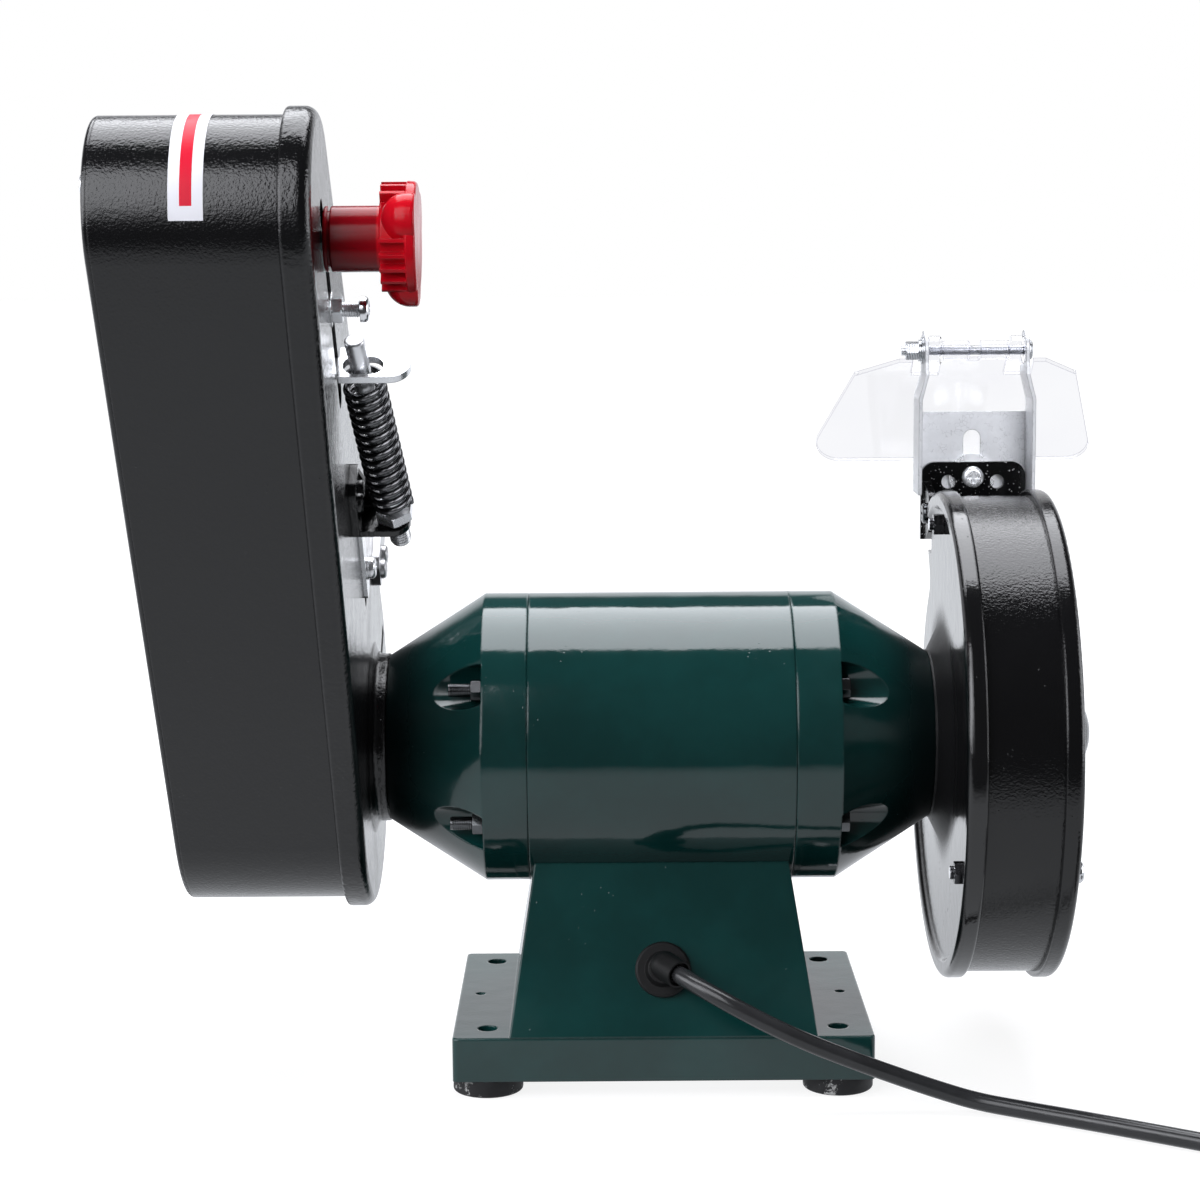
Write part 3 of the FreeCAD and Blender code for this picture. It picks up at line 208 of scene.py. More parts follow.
def metal(name, color, rough, grain=None, stain=0.15, edge=0.0004, pit=0.000006, dark=(0.30, 0.30, 0.31), metallic=1.0, spangle=0.0, rim=None, pitch=0.0):
    """Plated or machined metal: clouded plating, fine scratches along grain, brighter rubbed edges."""
    s = Shader(name)
    n = s.bevel(edge)
    cloud = s.noise(75.0, 5.0, 0.6)
    line = s.noise(260.0, 4.0, 0.6, s.stretch(*grain) if grain else None)
    col = s.mix(s.range(cloud, 0.30, 0.75), shade(color, 1.0 - stain), shade(color, 1.0 + stain * 0.4))
    col = s.mix(s.range(s.noise(34.0, 6.0, 0.7), 0.60, 0.78, 0.0, 0.35), col, dark)
    if spangle:
        crack = s.math("MULTIPLY", s.range(s.cells(560.0, "DISTANCE_TO_EDGE"), 0.060, 0.012), s.range(s.noise(210.0, 4.0, 0.7), 0.50, 0.58))
        tone = s.add("ShaderNodeSeparateColor", Color=s.cells(560.0, output="Color")).outputs["Red"]
        col = s.mix(s.math("MULTIPLY", tone, spangle * 0.5), col, shade(color, 0.78))
        col = s.mix(s.math("MULTIPLY", crack, spangle), col, shade(color, 0.45))
    s.set(Base_Color=s.mix(s.math("MULTIPLY", s.edges(n), 0.9 if rim else 0.5), col, rim or shade(color, 1.12)))
    s.set(Roughness=s.range(s.math("ADD", s.math("MULTIPLY", cloud, 0.5), s.math("MULTIPLY", line, 0.5)), 0.35, 0.65, rough * 0.7, rough * 1.35, smooth=False))
    n = s.bump(line, pit, n)
    if pitch:
        n = s.bump(s.add("ShaderNodeTexWave", {"bands_direction": "X"}, Vector=s.coord, Scale=0.314 / pitch).outputs["Fac"], pitch * 0.35, n)
    s.set(Normal=n, Metallic=metallic)
    return s.mat


def moulded(name, color, rough, grain=(700.0, 0.000006), edge=0.0005, scuff=None, scuff_at=(0.62, 0.72), ior=1.46):
    """Moulded plastic or rubber with a fine skin, flow marks and optional scuffs."""
    s = Shader(name)
    n = s.bevel(edge)
    broad = s.noise(45.0, 4.0, 0.6)
    col = s.mix(s.range(broad, 0.32, 0.72), shade(color, 0.85), shade(color, 1.18))
    e = s.edges(n)
    col = s.mix(s.math("MULTIPLY", e, 0.25), col, shade(color, 2.0))
    r = s.range(s.noise(120.0, 4.0, 0.6), 0.3, 0.7, rough * 0.8, rough * 1.2, smooth=False)
    if scuff:
        m = s.range(s.noise(95.0, 6.0, 0.75), *scuff_at)
        col = s.mix(s.math("MULTIPLY", m, 0.75), col, scuff)
        r = s.math("ADD", r, s.math("MULTIPLY", m, 0.25))
    s.set(Base_Color=col, Roughness=r, IOR=ior)
    n = s.bump(s.noise(grain[0], 3.0, 0.6), grain[1], n)
    s.set(Normal=n)
    return s.mat


# ---- materials ----------------------------------------------------------------
GREEN = (0.0043, 0.0390, 0.0362)
BLACK = (0.0042, 0.0042, 0.0047)
M = {}
# painted shade on the green: the bells' cones turn darker and duller towards the noses (|x| 80 to 107 mm)
M["green"] = paint("green_enamel", GREEN, 0.085, peel=(480.0, 0.000020), wave=(70.0, 0.00012), edge=0.0010, edge_wear_and_highlight=(0.05, 0.12, 0.115), dust=0.35, spec=0.56, haze=0.05, over=("x", 0.080, 0.107, (0.0026, 0.0085, 0.0088), 0.22))
M["black"] = paint("black_enamel", BLACK, 0.12, peel=(1000.0, 0.000165), wave=(190.0, 0.00006), edge=0.0010, edge_wear_and_highlight=(0.07, 0.07, 0.075), dust=1.0, spec=0.44)
M["black_cast"] = paint("black_enamel_on_casting", BLACK, 0.14, peel=(700.0, 0.000200), wave=(150.0, 0.00020), edge=0.0012, edge_wear_and_highlight=(0.07, 0.07, 0.075), dust=1.2, spec=0.44)
M["black_dish"] = paint("black_enamel_on_dish", BLACK, 0.09, peel=(620.0, 0.000040), wave=(130.0, 0.00006), edge=0.0012, edge_wear_and_highlight=(0.07, 0.07, 0.075), dust=1.2, spec=0.62, over=("r", 0.058, 0.040, BLACK, 0.35))
M["black_sheet"] = paint("black_enamel_on_sheet", BLACK, 0.13, peel=(800.0, 0.000110), wave=(120.0, 0.00008), edge=0.0008, edge_wear_and_highlight=(0.10, 0.10, 0.105), dust=0.8, spec=0.44)
M["black_chipped"] = paint("black_enamel_chipped", BLACK, 0.16, peel=(760.0, 0.000080), wave=(110.0, 0.00006), edge=0.0007, edge_wear_and_highlight=(0.30, 0.30, 0.30), dust=0.8, chip=(0.55, 0.55, 0.56))
M["zinc"] = metal("bright_zinc", (0.80, 0.81, 0.83), 0.26, grain=(1.0, 1.0, 0.12), stain=0.12, metallic=0.75)
M["zinc_sheet"] = metal("zinc_sheet", (0.88, 0.89, 0.915), 0.36, grain=(1.0, 1.0, 0.06), stain=0.06, edge=0.0006, metallic=0.2, dark=(0.62, 0.63, 0.65), spangle=0.55, rim=(0.26, 0.26, 0.27))
M["chrome"] = metal("bright_chromate", (0.70, 0.71, 0.73), 0.13, stain=0.16, metallic=1.0)
M["hinge_pin"] = metal("threaded_zinc", (0.56, 0.57, 0.59), 0.16, stain=0.12, metallic=1.0, pitch=0.0007)
M["carriage"] = metal("zinc_on_carriage", (0.70, 0.71, 0.73), 0.20, grain=(1.0, 1.0, 0.06), stain=0.14, edge=0.0005, metallic=0.85, rim=(0.34, 0.34, 0.35))
M["zinc_blue"] = metal("blue_zinc", (0.62, 0.68, 0.72), 0.24, stain=0.15)
M["oxide"] = metal("black_oxide", (0.060, 0.060, 0.064), 0.24, stain=0.30, dark=(0.02, 0.02, 0.02))
M["spring"] = metal("spring_wire", (0.125, 0.125, 0.130), 0.15, stain=0.30, dark=(0.02, 0.02, 0.02))
M["bolt"] = metal("dark_bright_bolt", (0.13, 0.135, 0.14), 0.20, stain=0.35, dark=(0.03, 0.03, 0.03))
M["steel"] = metal("machined_steel", (0.58, 0.58, 0.59), 0.28, grain=(1.0, 0.10, 1.0), stain=0.15)
M["ground_steel"] = metal("ground_steel", (0.50, 0.50, 0.51), 0.33, grain=(0.06, 1.0, 1.0), stain=0.18, pit=0.00001)
M["alu"] = metal("cast_aluminium", (0.70, 0.71, 0.72), 0.36, grain=(1.0, 0.2, 0.2), stain=0.12)
M["copper"] = metal("enamelled_copper", (0.62, 0.22, 0.08), 0.30, grain=(0.05, 1.0, 1.0), stain=0.2, dark=(0.20, 0.06, 0.02))
M["rubber"] = moulded("black_rubber", (0.013, 0.013, 0.014), 0.60, ior=1.36, grain=(900.0, 0.000010), scuff=(0.72, 0.72, 0.71), scuff_at=(0.545, 0.60))
M["gland"] = moulded("gland_rubber", (0.0045, 0.0045, 0.0048), 0.46, grain=(800.0, 0.000010), ior=1.30)
M["lead"] = moulded("lead_sheath", (0.024, 0.0245, 0.026), 0.22, grain=(300.0, 0.000030), edge=0.0002)
M["plastic"] = moulded("black_plastic", (0.018, 0.018, 0.019), 0.33, grain=(900.0, 0.000008))


def red_knob():
    s = Shader("red_plastic_gloss")
    n = s.bevel(0.0004)
    col = s.mix(s.range(s.noise(40.0, 3.0), 0.35, 0.7), (0.50, 0.0034, 0.0110), (0.59, 0.0042, 0.0135))
    # painted shade: the sleeve (x below about -98 mm, behind the head) is painted a darker red than the head, for the
    # shade it sits in
    col = s.mix(s.range(s.xyz(0), -0.0977, -0.0986), col, (0.31, 0.0020, 0.0085))
    col = s.mix(s.math("MULTIPLY", s.edges(n), 0.35), col, (0.70, 0.05, 0.07))
    s.set(Base_Color=col, Roughness=s.range(s.noise(70.0, 4.0, 0.65), 0.3, 0.7, 0.14, 0.22, smooth=False), IOR=1.49)
    s.set(Normal=s.bump(s.noise(150.0, 2.0), 0.00002, n), Specular_IOR_Level=0.17)
    return s.mat


def clear_sheet():
    s = Shader("clear_polycarbonate")
    n = s.bevel(0.0007)
    col = s.mix(s.range(s.noise(30.0, 3.0), 0.3, 0.7), (0.925, 0.930, 0.962), (0.945, 0.949, 0.975))
    # painted shade: the rounded edges are painted a dark lavender, standing in for the dark outline that refraction
    # gives a clear sheet's edges
    s.set(Base_Color=s.mix(s.edges(n, 0.995, 0.90), col, (0.34, 0.34, 0.42)))
    s.set(Roughness=s.range(s.noise(90.0, 5.0, 0.7), 0.35, 0.75, 0.0, 0.03, smooth=False))
    s.set(Normal=s.bump(s.noise(18.0, 1.0), 0.00003), Transmission_Weight=1.0, IOR=1.04, Coat_Weight=0.5, Coat_Roughness=0.03)
    return s.mat


def grit(name, colors, scale, depth, rough):
    """Bonded abrasive grain: coloured cells of mixed size, open pores, a dull broken surface."""
    s = Shader(name)
    c = s.cells(scale, output="Color")
    v = s.add("ShaderNodeSeparateColor", Color=c).outputs["Red"]
    col = s.ramp(v, [(0.0, shade(colors[0], 0.6)), (0.45, colors[0]), (0.75, colors[1]), (0.95, colors[2])])
    # painted shade: the open pores are painted darker than the grain, for the shade inside them
    pore = s.range(s.noise(scale * 0.35, 4.0, 0.7), 0.55, 0.72)
    col = s.mix(pore, col, shade(colors[0], 0.35))
    col = s.mix(s.range(s.noise(28.0, 5.0, 0.65), 0.45, 0.75, 0.0, 0.5), col, shade(colors[0], 0.7))
    s.set(Base_Color=col, Roughness=s.range(v, 0.0, 1.0, rough * 0.75, min(1.0, rough * 1.1), smooth=False))
    n = s.bump(s.cells(scale), depth, None, invert=True)
    s.set(Normal=s.bump(pore, depth * 1.5, n, invert=True))
    return s.mat


M["red"] = red_knob()
M["clear"] = clear_sheet()
M["wheel"] = grit("vitrified_wheel", ((0.16, 0.16, 0.165), (0.30, 0.30, 0.30), (0.52, 0.51, 0.49)), 1500.0, 0.00018, 0.85)
M["belt"] = grit("abrasive_belt", ((0.16, 0.050, 0.028), (0.24, 0.085, 0.045), (0.40, 0.20, 0.13)), 2200.0, 0.00010, 0.80)

SLOT = {
    "green_paint": "green", "black_paint": "black", "zinc_plate": "zinc", "black_oxide": "oxide", "bare_steel": "steel", "copper": "copper",
    "cast_aluminium": "alu", "rubber": "rubber", "black_plastic": "plastic", "red_plastic": "red", "clear_plastic": "clear",
    "abrasive_wheel": "wheel", "abrasive_cloth": "belt",
}
OWN = {
    "arm_casting": "black_cast", "guard_inner": "black_dish", "guard_band": "black", "guard_cover": "black_sheet", "belt_cover": "black",
    "side_cover": "black_sheet", "spark_bracket": "black_chipped", "spring_bracket": "black_sheet", "wheel_rest_arm": "black_sheet",
    "shield_arm": "zinc_sheet", "tension_carriage": "carriage", "tension_spring": "spring", "cord_gland": "gland", "cord_tie": "plastic",
    "plug": "plastic", "tension_rod": "zinc", "wheel_rest_table": "ground_steel", "belt_rest": "ground_steel", "platen": "ground_steel",
    "tie_bolts": "bolt", "shield_bushings": "clear", "shield_hinge_bolt": "hinge_pin", "tracking_screw": "chrome", "bracket_screws": "zinc",
    "guard_screws": "chrome",
}
for name, o in nodes.items():
    old = o.data.materials[0].name.split(".")[0] if o.data.materials else ""
    o.data.materials.clear()
    o.data.materials.append(M[OWN.get(name) or SLOT.get(old, "steel")])
# the screw and washer at the guard's lug are dark, the pair at the shield bright
for name in ("bracket_screws", "clamp_washers"):
    o = nodes[name]
    o.data.materials.append(M["bolt"])
    for f in o.data.polygons:
        if (o.matrix_world @ f.center).x < 0.122:
            f.material_index = 1


# ---- mesh helpers -------------------------------------------------------------
def piece(name, verts, faces, mat, body, sharp=35.0):
    me = bpy.data.meshes.new(name)
    me.from_pydata([tuple(v) for v in verts], [], faces)
    me.validate()
    me.update()
    me.materials.append(M[mat] if isinstance(mat, str) else mat)
    me.polygons.foreach_set("use_smooth", [True] * len(me.polygons))
    me.set_sharp_from_angle(angle=rad(sharp))
    o = bpy.data.objects.new(name, me)
    scene.collection.objects.link(o)
    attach(o, body)
    return o


def axes(direction):
    d = Vector(direction).normalized()
    a = d.orthogonal().normalized()
    return d, a, d.cross(a)


def ring_grid(rows, close):
    """Faces between rows of equal length; close joins the last row to the first."""
    n = len(rows[0])
    faces = []
    m = len(rows)
    for i in range(m if close else m - 1):
        a, b = rows[i], rows[(i + 1) % m]
        for k in range(n):
            faces.append((a[k], a[(k + 1) % n], b[(k + 1) % n], b[k]))
    return faces


def thread(name, start, direction, length, r_in, r_out, pitch, body, mat, seg=28, per=8):
    """Cut thread on a shank: a helical ridge from r_in to r_out, run out at both ends, closed on its inner side."""
    d, a, b = axes(direction)
    start = Vector(start) * MM
    n = max(8, int(length / pitch * per))
    verts, rows = [], []
    for i in range(n + 1):
        z = length * i / n
        fade = min(1.0, z / (0.6 * pitch), (length - z) / (0.6 * pitch))
        row = []
        for k in range(seg):
            t = 2 * math.pi * k / seg
            ph = (z / pitch - k / seg) % 1.0
            tri = 1.0 - abs(2.0 * ph - 1.0)
            r = r_in + (r_out - r_in) * max(0.0, min(1.0, (tri - 0.12) / 0.76)) * max(0.0, fade)
            row.append(len(verts))
            verts.append(start + (d * z + a * (r * math.cos(t)) + b * (r * math.sin(t))) * MM)
        rows.append(row)
    for z in (length, 0.0):
        row = []
        for k in range(seg):
            t = 2 * math.pi * k / seg
            row.append(len(verts))
            verts.append(start + (d * z + a * ((r_in - 0.3) * math.cos(t)) + b * ((r_in - 0.3) * math.sin(t))) * MM)
        rows.append(row)
    return piece(name, verts, ring_grid(rows, True), mat, body, 60.0)


def lathe(name, profile, start, direction, mat, body, seg=64, sharp=35.0):
    """Closed turned ring from (along, radius) points, in millimetres."""
    d, a, b = axes(direction)
    start = Vector(start) * MM
    verts, rows = [], []
    for z, r in profile:
        row = []
        for k in range(seg):
            t = 2 * math.pi * k / seg
            row.append(len(verts))
            verts.append(start + (d * z + a * (r * math.cos(t)) + b * (r * math.sin(t))) * MM)
        rows.append(row)
    return piece(name, verts, ring_grid(rows, True), mat, body, sharp)


LEAN = rad(39.65)


def arm(x, y, z):
    """A point of the belt arm's own frame, in the part's frame, millimetres."""
    return Vector((x, y * math.cos(LEAN) - z * math.sin(LEAN), y * math.sin(LEAN) + z * math.cos(LEAN) + 134.0))


# ---- mains lead ---------------------------------------------------------------
ROUTE = [
    (3.77, -64.05, 51.71), (8.63, -70.75, 50.29), (14.59, -76.23, 48.02), (21.35, -80.22, 45.04),
    (28.61, -82.52, 41.48), (40.9, -83.3, 35), (56, -83.6, 27.8), (72, -83.2, 21.2),
    (88.5, -82.9, 14.9), (105, -83.2, 9.1), (121, -85.4, 4.6), (138, -92.5, 3.5),
    (156.9, -104, 3.5), (176.5, -116.5, 3.5), (198, -130.6, 3.5), (219.5, -145, 3.5),
    (240, -157, 3.5),
]
COIL = (262.0, -120.0)
R_OUT, R_IN = 42.4, 35.1
# the turns pass between two columns and three layers, each move a little ahead of the one below it
MOVES = [
    ("r", 124.0, 214.0, R_IN - R_OUT), ("z", 464.0, 524.0, 7.05), ("r", 774.0, 864.0, R_OUT - R_IN),
    ("z", 1114.0, 1174.0, 7.05), ("r", 1424.0, 1514.0, R_IN - R_OUT), ("z", 1685.0, 1760.0, 8.6),
]
TOP = 1760.0
PLUG_AT = (29.0, -12.0)


def ease(a, b, t):
    s = max(0.0, min(1.0, (t - a) / (b - a)))
    return 0.5 - 0.5 * math.cos(math.pi * s)


def coil_points():
    pts = []
    t = -106.0
    while t <= TOP + 1e-6:
        r, z = R_OUT, 3.5
        for kind, a, b, by in MOVES:
            if kind == "r":
                r += by * ease(a, b, t)
            else:
                z += by * ease(a, b, t)
        pts.append((COIL[0] + r * math.cos(rad(t)), COIL[1] + r * math.sin(rad(t)), z))
        t += 15.0
    # over the top of the coil to the back of the plug
    turn = TOP - 125.0
    c, r1 = (PLUG_AT[0] - 33.0, PLUG_AT[1]), 33.0
    while t - turn < 329.0:
        p = t - turn
        u = (math.cos(rad(p)), math.sin(rad(p)))
        cu = c[0] * u[0] + c[1] * u[1]
        rho = cu + math.sqrt(cu * cu - (c[0] ** 2 + c[1] ** 2 - r1 * r1))
        s = ease(140.0, 230.0, p)
        r = R_IN * (1 - s) + rho * s
        pts.append((COIL[0] + r * math.cos(rad(t)), COIL[1] + r * math.sin(rad(t)), 26.2 + 3.8 * ease(243.4, 333.4, p)))
        t += 15.0
    ca, sa = math.cos(rad(turn)), math.sin(rad(turn))
    pts.append((COIL[0] + PLUG_AT[0] * ca - PLUG_AT[1] * sa, COIL[1] + PLUG_AT[0] * sa + PLUG_AT[1] * ca, 30.0))
    return pts


def make_lead():
    data = bpy.data.curves.new("mains_lead", "CURVE")
    data.dimensions = "3D"
    data.bevel_depth = 3.5 * MM
    data.bevel_resolution = 7
    data.resolution_u = 8
    data.use_fill_caps = True
    sp = data.splines.new("NURBS")
    pts = ROUTE + coil_points()
    sp.points.add(len(pts) - 1)
    for q, p in zip(sp.points, pts):
        q.co = (p[0] * MM, p[1] * MM, p[2] * MM, 1.0)
    sp.order_u = 3
    sp.use_endpoint_u = True
    data.materials.append(M["lead"])
    o = bpy.data.objects.new("mains_lead", data)
    scene.collection.objects.link(o)
    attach(o, "base")
    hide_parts("power_cord", "cord_coil")
    return o


lead = make_lead()

# ribs on the plug's sleeve
ph = rad(-75.0)
plug_dir = Vector((math.cos(ph), math.sin(ph), 0.0))
plug_rear = Vector((COIL[0] - 25.94, COIL[1] - 15.23, 30.0)) - plug_dir * 20.0
for i in range(5):
    z = 2.4 + 3.4 * i
    r = 5.0 + 3.0 * (z + 0.8) / 20.0
    prof = [(z - 0.9, r - 0.9), (z - 0.7, r + 0.25), (z - 0.3, r + 0.6), (z + 0.5, r + 0.65), (z + 0.9, r + 0.3), (z + 1.1, r - 0.9)]
    lathe("plug_sleeve_rib_%d" % (i + 1), prof, plug_rear, plug_dir, "plastic", "base", 40)

# ---- threads ------------------------------------------------------------------
for i, a in enumerate((31.0, 149.0, 211.0, -31.0)):
    y, z = 52.0 * math.cos(rad(a)), 52.0 * math.sin(rad(a)) + 134.0
    thread("tie_bolt_thread_%d" % (i + 1), (-83.7, y, z), (1, 0, 0), 8.3, 2.52, 2.86, 0.9, "base", "bolt")
rod_lo, rod_hi = arm(-99.25, 0.0, 116.9), arm(-110.0, 0.0, 219.5)
rod_dir = (rod_hi - rod_lo).normalized()
thread("tension_rod_thread", rod_lo + rod_dir * 0.7, rod_dir, 8.6, 3.62, 4.05, 1.25, "belt_arm", "zinc", 36)
thread("tracking_screw_thread", arm(-112.5, 0.0, 233.7), (1, 0, 0), 5.7, 2.52, 2.85, 0.8, "tracking", "zinc")
thread("hinge_bolt_thread", (104.8, 54.0, 288.7), (1, 0, 0), 1.6, 2.02, 2.28, 0.7, "shield_slide", "zinc")
thread("clamp_screw_thread", (136.2, 73.3, 234.3), (0, 1, 0), 3.5, 2.47, 2.75, 0.8, "base", "zinc")
for i, a in enumerate((208.0, 332.0, 90.0)):
    thread("guard_screw_thread_%d" % (i + 1), (112.7 if i == 1 else 110.6, 86.5 * math.cos(rad(a)), 86.5 * math.sin(rad(a)) + 134.0), (1, 0, 0), 1.5, 2.47, 2.72, 0.7,
           "base", "oxide")
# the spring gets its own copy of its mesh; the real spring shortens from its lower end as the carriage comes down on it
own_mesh(nodes["tension_spring"])


# ---- striped sticker over the top of the belt cover -----------------------------
def sticker_mat(name, color, rough):
    s = Shader(name)
    col = s.mix(s.range(s.noise(60.0, 4.0), 0.3, 0.75), shade(color, 0.95), shade(color, 1.02))
    s.set(Base_Color=col, Roughness=s.range(s.noise(90.0, 4.0), 0.3, 0.7, rough * 0.8, rough * 1.2, smooth=False))
    s.set(Normal=s.bump(s.noise(260.0, 2.0), 0.00002), Specular_IOR_Level=0.18)
    return s.mat


def sticker(name, x0, x1, a0, a1, lift, thick, mat):
    c = arm(0.0, 0.0, 277.8)
    verts, faces = [], []
    na, nx = 48, 6
    for side, r in ((0, 32.2 + lift + thick), (1, 32.2 + lift)):
        for i in range(na + 1):
            a = rad(a0 + (a1 - a0) * i / na)
            for k in range(nx + 1):
                x = x0 + (x1 - x0) * k / nx
                verts.append(Vector((x, c.y - r * math.cos(a), c.z + r * math.sin(a))) * MM)
    m = (na + 1) * (nx + 1)

    def at(s, i, k):
        return s * m + i * (nx + 1) + k
    for i in range(na):
        for k in range(nx):
            faces.append((at(0, i, k), at(0, i, k + 1), at(0, i + 1, k + 1), at(0, i + 1, k)))
            faces.append((at(1, i, k), at(1, i + 1, k), at(1, i + 1, k + 1), at(1, i, k + 1)))
    for i in range(na):
        faces.append((at(0, i, 0), at(0, i + 1, 0), at(1, i + 1, 0), at(1, i, 0)))
        faces.append((at(0, i, nx), at(1, i, nx), at(1, i + 1, nx), at(0, i + 1, nx)))
    for k in range(nx):
        faces.append((at(0, 0, k), at(1, 0, k), at(1, 0, k + 1), at(0, 0, k + 1)))
        faces.append((at(0, na, k), at(0, na, k + 1), at(1, na, k + 1), at(1, na, k)))
    return piece(name, verts, faces, mat, "belt_arm", 40.0)


sticker("sticker_white", -163.5, -152.0, -5.5, 116.0, 0.02, 0.12, sticker_mat("sticker_white", (0.74, 0.735, 0.78), 0.45))
sticker("sticker_red", -159.7, -155.7, 3.0, 108.0, 0.13, 0.05, sticker_mat("sticker_red", (0.60, 0.002, 0.024), 0.45))


# ---- paper washers on the wheel -------------------------------------------------
def paper():
    s = Shader("blotter_paper")
    col = s.mix(s.range(s.noise(300.0, 5.0, 0.7), 0.35, 0.7), (0.20, 0.26, 0.30), (0.30, 0.37, 0.41))
    s.set(Base_Color=col, Roughness=s.range(s.noise(500.0, 3.0), 0.3, 0.7, 0.75, 0.95, smooth=False))
    s.set(Normal=s.bump(s.noise(900.0, 3.0, 0.7), 0.00003))
    return s.mat


M["paper"] = paper()
for name, x0, x1 in (("wheel_blotter_inner", 126.05, 126.48), ("wheel_blotter_outer", 146.52, 146.95)):
    lathe(name, [(0.0, 25.4), (0.0, 33.5), (0.08, 33.6), (x1 - x0 - 0.08, 33.6), (x1 - x0, 33.5), (x1 - x0, 25.4)], (x0, 0.0, 134.0), (1, 0, 0),
          "paper", "spindle", 96)


# ---- floor, light and world -----------------------------------------------------
def floor_mat(name, diffuse, lo, hi, axis, tint):
    """Studio paper: pale, evenly lit; lo at the middle (or the front edge), hi further out."""
    s = Shader(name)
    if axis == "r":
        c = s.add("ShaderNodeVectorMath", {"operation": "LENGTH"})
        s.put(c.inputs[0], s.stretch(0.7, 1.0, 1.0))
        level = s.range(c.outputs["Value"], 0.16, 0.46, lo, hi)
    else:
        level = s.math("ADD", s.range(s.xyz(1), -0.66, -0.36, lo, hi), s.range(s.xyz(1), 0.15, 0.60, 0.0, 0.36))
    s.set(Base_Color=(diffuse, diffuse, diffuse, 1.0), Roughness=0.9, Specular_IOR_Level=0.0)
    s.set(Emission_Color=(*tint, 1.0), Emission_Strength=level)
    return s.mat


def plane(name, x0, x1, y0, y1, z, mat):
    me = bpy.data.meshes.new(name)
    me.from_pydata([(x0, y0, z), (x1, y0, z), (x1, y1, z), (x0, y1, z)], [], [(0, 1, 2, 3)])
    me.materials.append(mat)
    o = bpy.data.objects.new(name, me)
    scene.collection.objects.link(o)
    return o


# what the camera sees, and what the paint mirrors: the paper ends in front of the bench
floor = plane("floor", -6.0, 6.0, -6.0, 12.0, -0.0002, floor_mat("floor_paper", 0.24, 0.84, 1.05, "r", (1.0, 1.0, 1.0)))
floor.visible_glossy = floor.visible_diffuse = floor.visible_transmission = floor.visible_shadow = False
bounce = plane("floor_bounce", -6.0, 6.0, -0.68, 12.0, -0.0004, floor_mat("floor_bounce_paper", 0.02, 0.0, 0.84, "y", (0.96, 0.99, 1.04)))
bounce.visible_camera = bounce.visible_diffuse = bounce.visible_shadow = bounce.visible_transmission = False


COOL = (0.97, 0.985, 1.03)


def area(name, size, place, aim, radiance, fade=None, only=None, without=None):
    d = bpy.data.lights.new(name, "AREA")
    d.shape = "RECTANGLE"
    d.size, d.size_y = size
    d.energy = radiance * math.pi * size[0] * size[1]
    d.color = COOL
    o = bpy.data.objects.new(name, d)
    o.location = place
    o.rotation_mode = "QUATERNION"
    o.rotation_quaternion = (Vector(aim) - Vector(place)).to_track_quat("-Z", "Y")
    o.visible_camera = False
    scene.collection.objects.link(o)
    if fade:
        # dims along its height
        d.use_nodes = True
        t = d.node_tree
        em = t.nodes["Emission"]
        uv = t.nodes.new("ShaderNodeSeparateXYZ")
        t.links.new(t.nodes.new("ShaderNodeNewGeometry").outputs["Parametric"], uv.inputs[0])
        n = t.nodes.new("ShaderNodeMapRange")
        n.interpolation_type = "SMOOTHSTEP"
        t.links.new(uv.outputs[1], n.inputs["Value"])
        for k, v in (("From Min", fade[0]), ("From Max", fade[1]), ("To Min", 0.0), ("To Max", 1.0)):
            n.inputs[k].default_value = v
        t.links.new(n.outputs["Result"], em.inputs["Strength"])
    if only or without:
        c = bpy.data.collections.new(name + "_lit")
        for k in only or without:
            c.objects.link(nodes[k])
        if without:
            for k in c.collection_objects:
                k.light_linking.link_state = "EXCLUDE"
        o.light_linking.receiver_collection = c
    return o


area("softbox_top", (1.15, 1.25), (-0.05, 0.425, 1.30), (-0.05, 0.425, 0.0), 6.1)
area("softbox_left", (0.80, 1.10), (-0.563, -0.842, 0.526), (-0.313, -0.042, 0.256), 4.6, fade=(0.10, 0.55), without=("shield_arm",))
area("softbox_side", (1.2, 1.0), (-1.60, -0.60, 0.60), (0.0, 0.0, 0.2), 5.0, without=("shield_arm",))
area("softbox_right", (0.9, 0.9), (1.45, -0.10, 0.42), (0.15, 0.0, 0.15), 3.5, without=("shield_arm",))
area("card_metal", (0.7, 0.7), (0.35, -0.95, 0.62), (0.12, 0.05, 0.26), 4.7,
     only=("shield_arm", "shield_hinge_bolt", "bracket_screws", "clamp_washers", "tension_carriage", "tension_spring"))


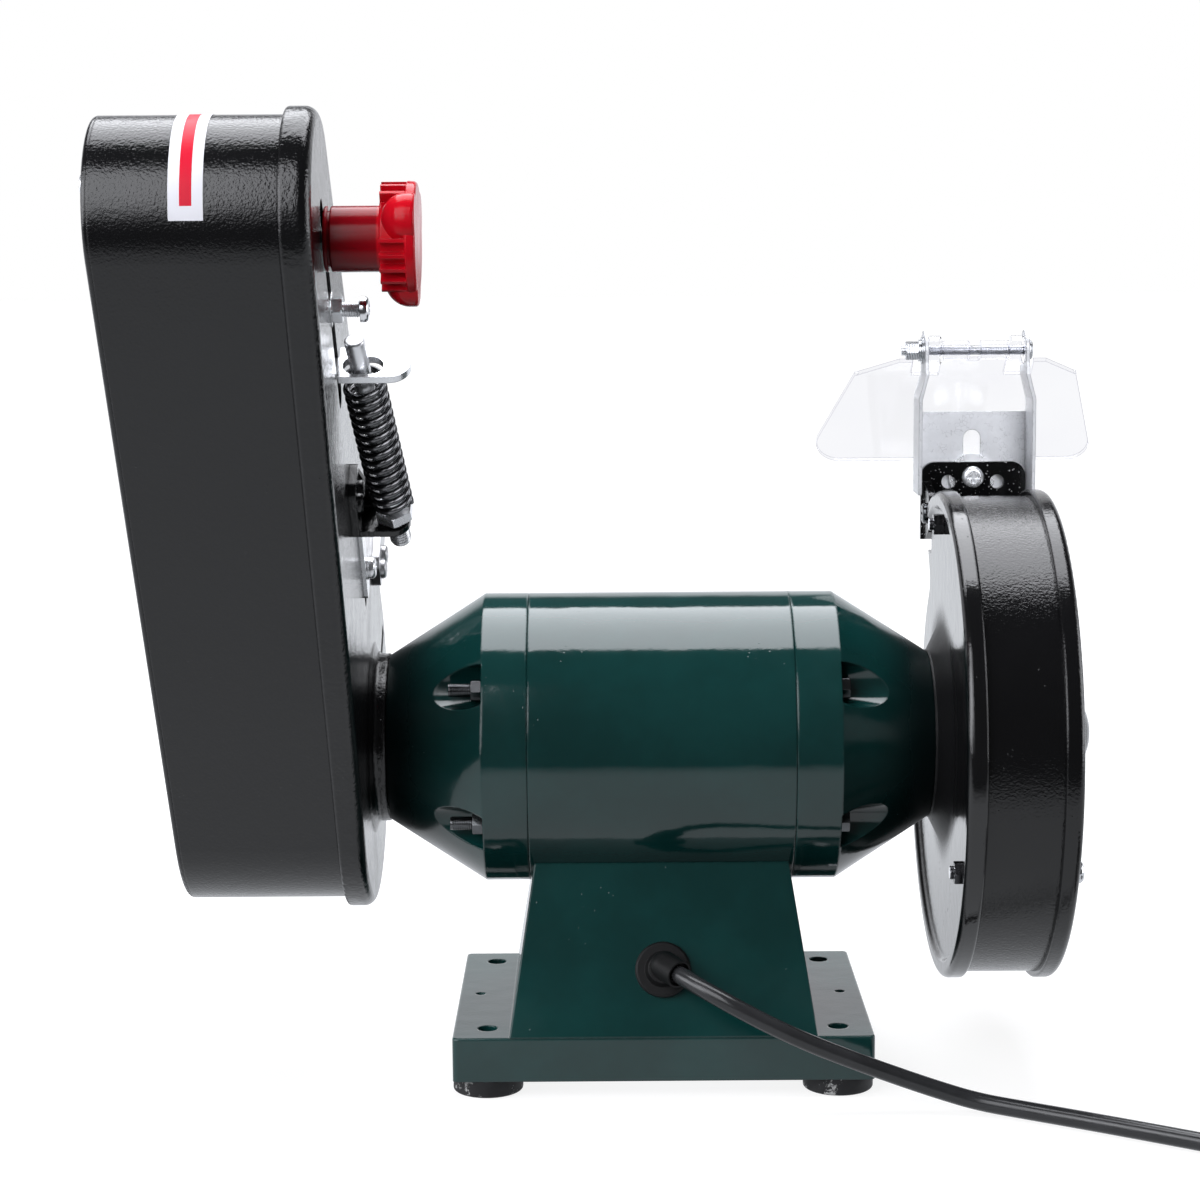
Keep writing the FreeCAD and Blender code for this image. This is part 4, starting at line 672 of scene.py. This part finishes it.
def make_world():
    w = bpy.data.worlds.new("studio")
    scene.world = w
    w.use_nodes = True
    t = w.node_tree
    t.nodes.clear()
    out = t.nodes.new("ShaderNodeOutputWorld")
    coord = t.nodes.new("ShaderNodeTexCoord")
    sep = t.nodes.new("ShaderNodeSeparateXYZ")
    t.links.new(coord.outputs["Generated"], sep.inputs[0])

    def rng(sock, a, b, c, d):
        n = t.nodes.new("ShaderNodeMapRange")
        n.interpolation_type = "SMOOTHSTEP"
        t.links.new(sock, n.inputs["Value"])
        for k, v in (("From Min", a), ("From Max", b), ("To Min", c), ("To Max", d)):
            n.inputs[k].default_value = v
        return n.outputs["Result"]

    def mul(a, b):
        n = t.nodes.new("ShaderNodeMath")
        n.operation = "MULTIPLY"
        t.links.new(a, n.inputs[0])
        t.links.new(b, n.inputs[1])
        return n.outputs[0]

    # white paper behind and beside the bench, a dark room in front and overhead
    back = rng(sep.outputs["Y"], -0.12, 0.12, 0.0, 1.0)
    low = rng(sep.outputs["Z"], 0.44, 0.28, 0.0, 1.0)
    above = rng(sep.outputs["Z"], -0.03, 0.0, 0.0, 1.0)
    lev = t.nodes.new("ShaderNodeMapRange")
    t.links.new(mul(mul(back, low), above), lev.inputs["Value"])
    lev.inputs["To Min"].default_value = 0.085
    lev.inputs["To Max"].default_value = 1.0
    studio = t.nodes.new("ShaderNodeBackground")
    t.links.new(lev.outputs["Result"], studio.inputs["Strength"])
    white = t.nodes.new("ShaderNodeBackground")
    path = t.nodes.new("ShaderNodeLightPath")
    mix = t.nodes.new("ShaderNodeMixShader")
    seen = t.nodes.new("ShaderNodeMath")
    seen.operation = "MAXIMUM"
    t.links.new(path.outputs["Is Camera Ray"], seen.inputs[0])
    t.links.new(path.outputs["Is Transmission Ray"], seen.inputs[1])
    t.links.new(seen.outputs[0], mix.inputs["Fac"])
    t.links.new(studio.outputs[0], mix.inputs[1])
    t.links.new(white.outputs[0], mix.inputs[2])
    studio.inputs["Color"].default_value = (0.97, 0.985, 1.03, 1.0)
    white.inputs["Color"].default_value = (1.0, 1.0, 1.0, 1.0)
    t.links.new(mix.outputs[0], out.inputs["Surface"])


make_world()
scene.view_settings.view_transform = "Standard"
scene.view_settings.look = "None"
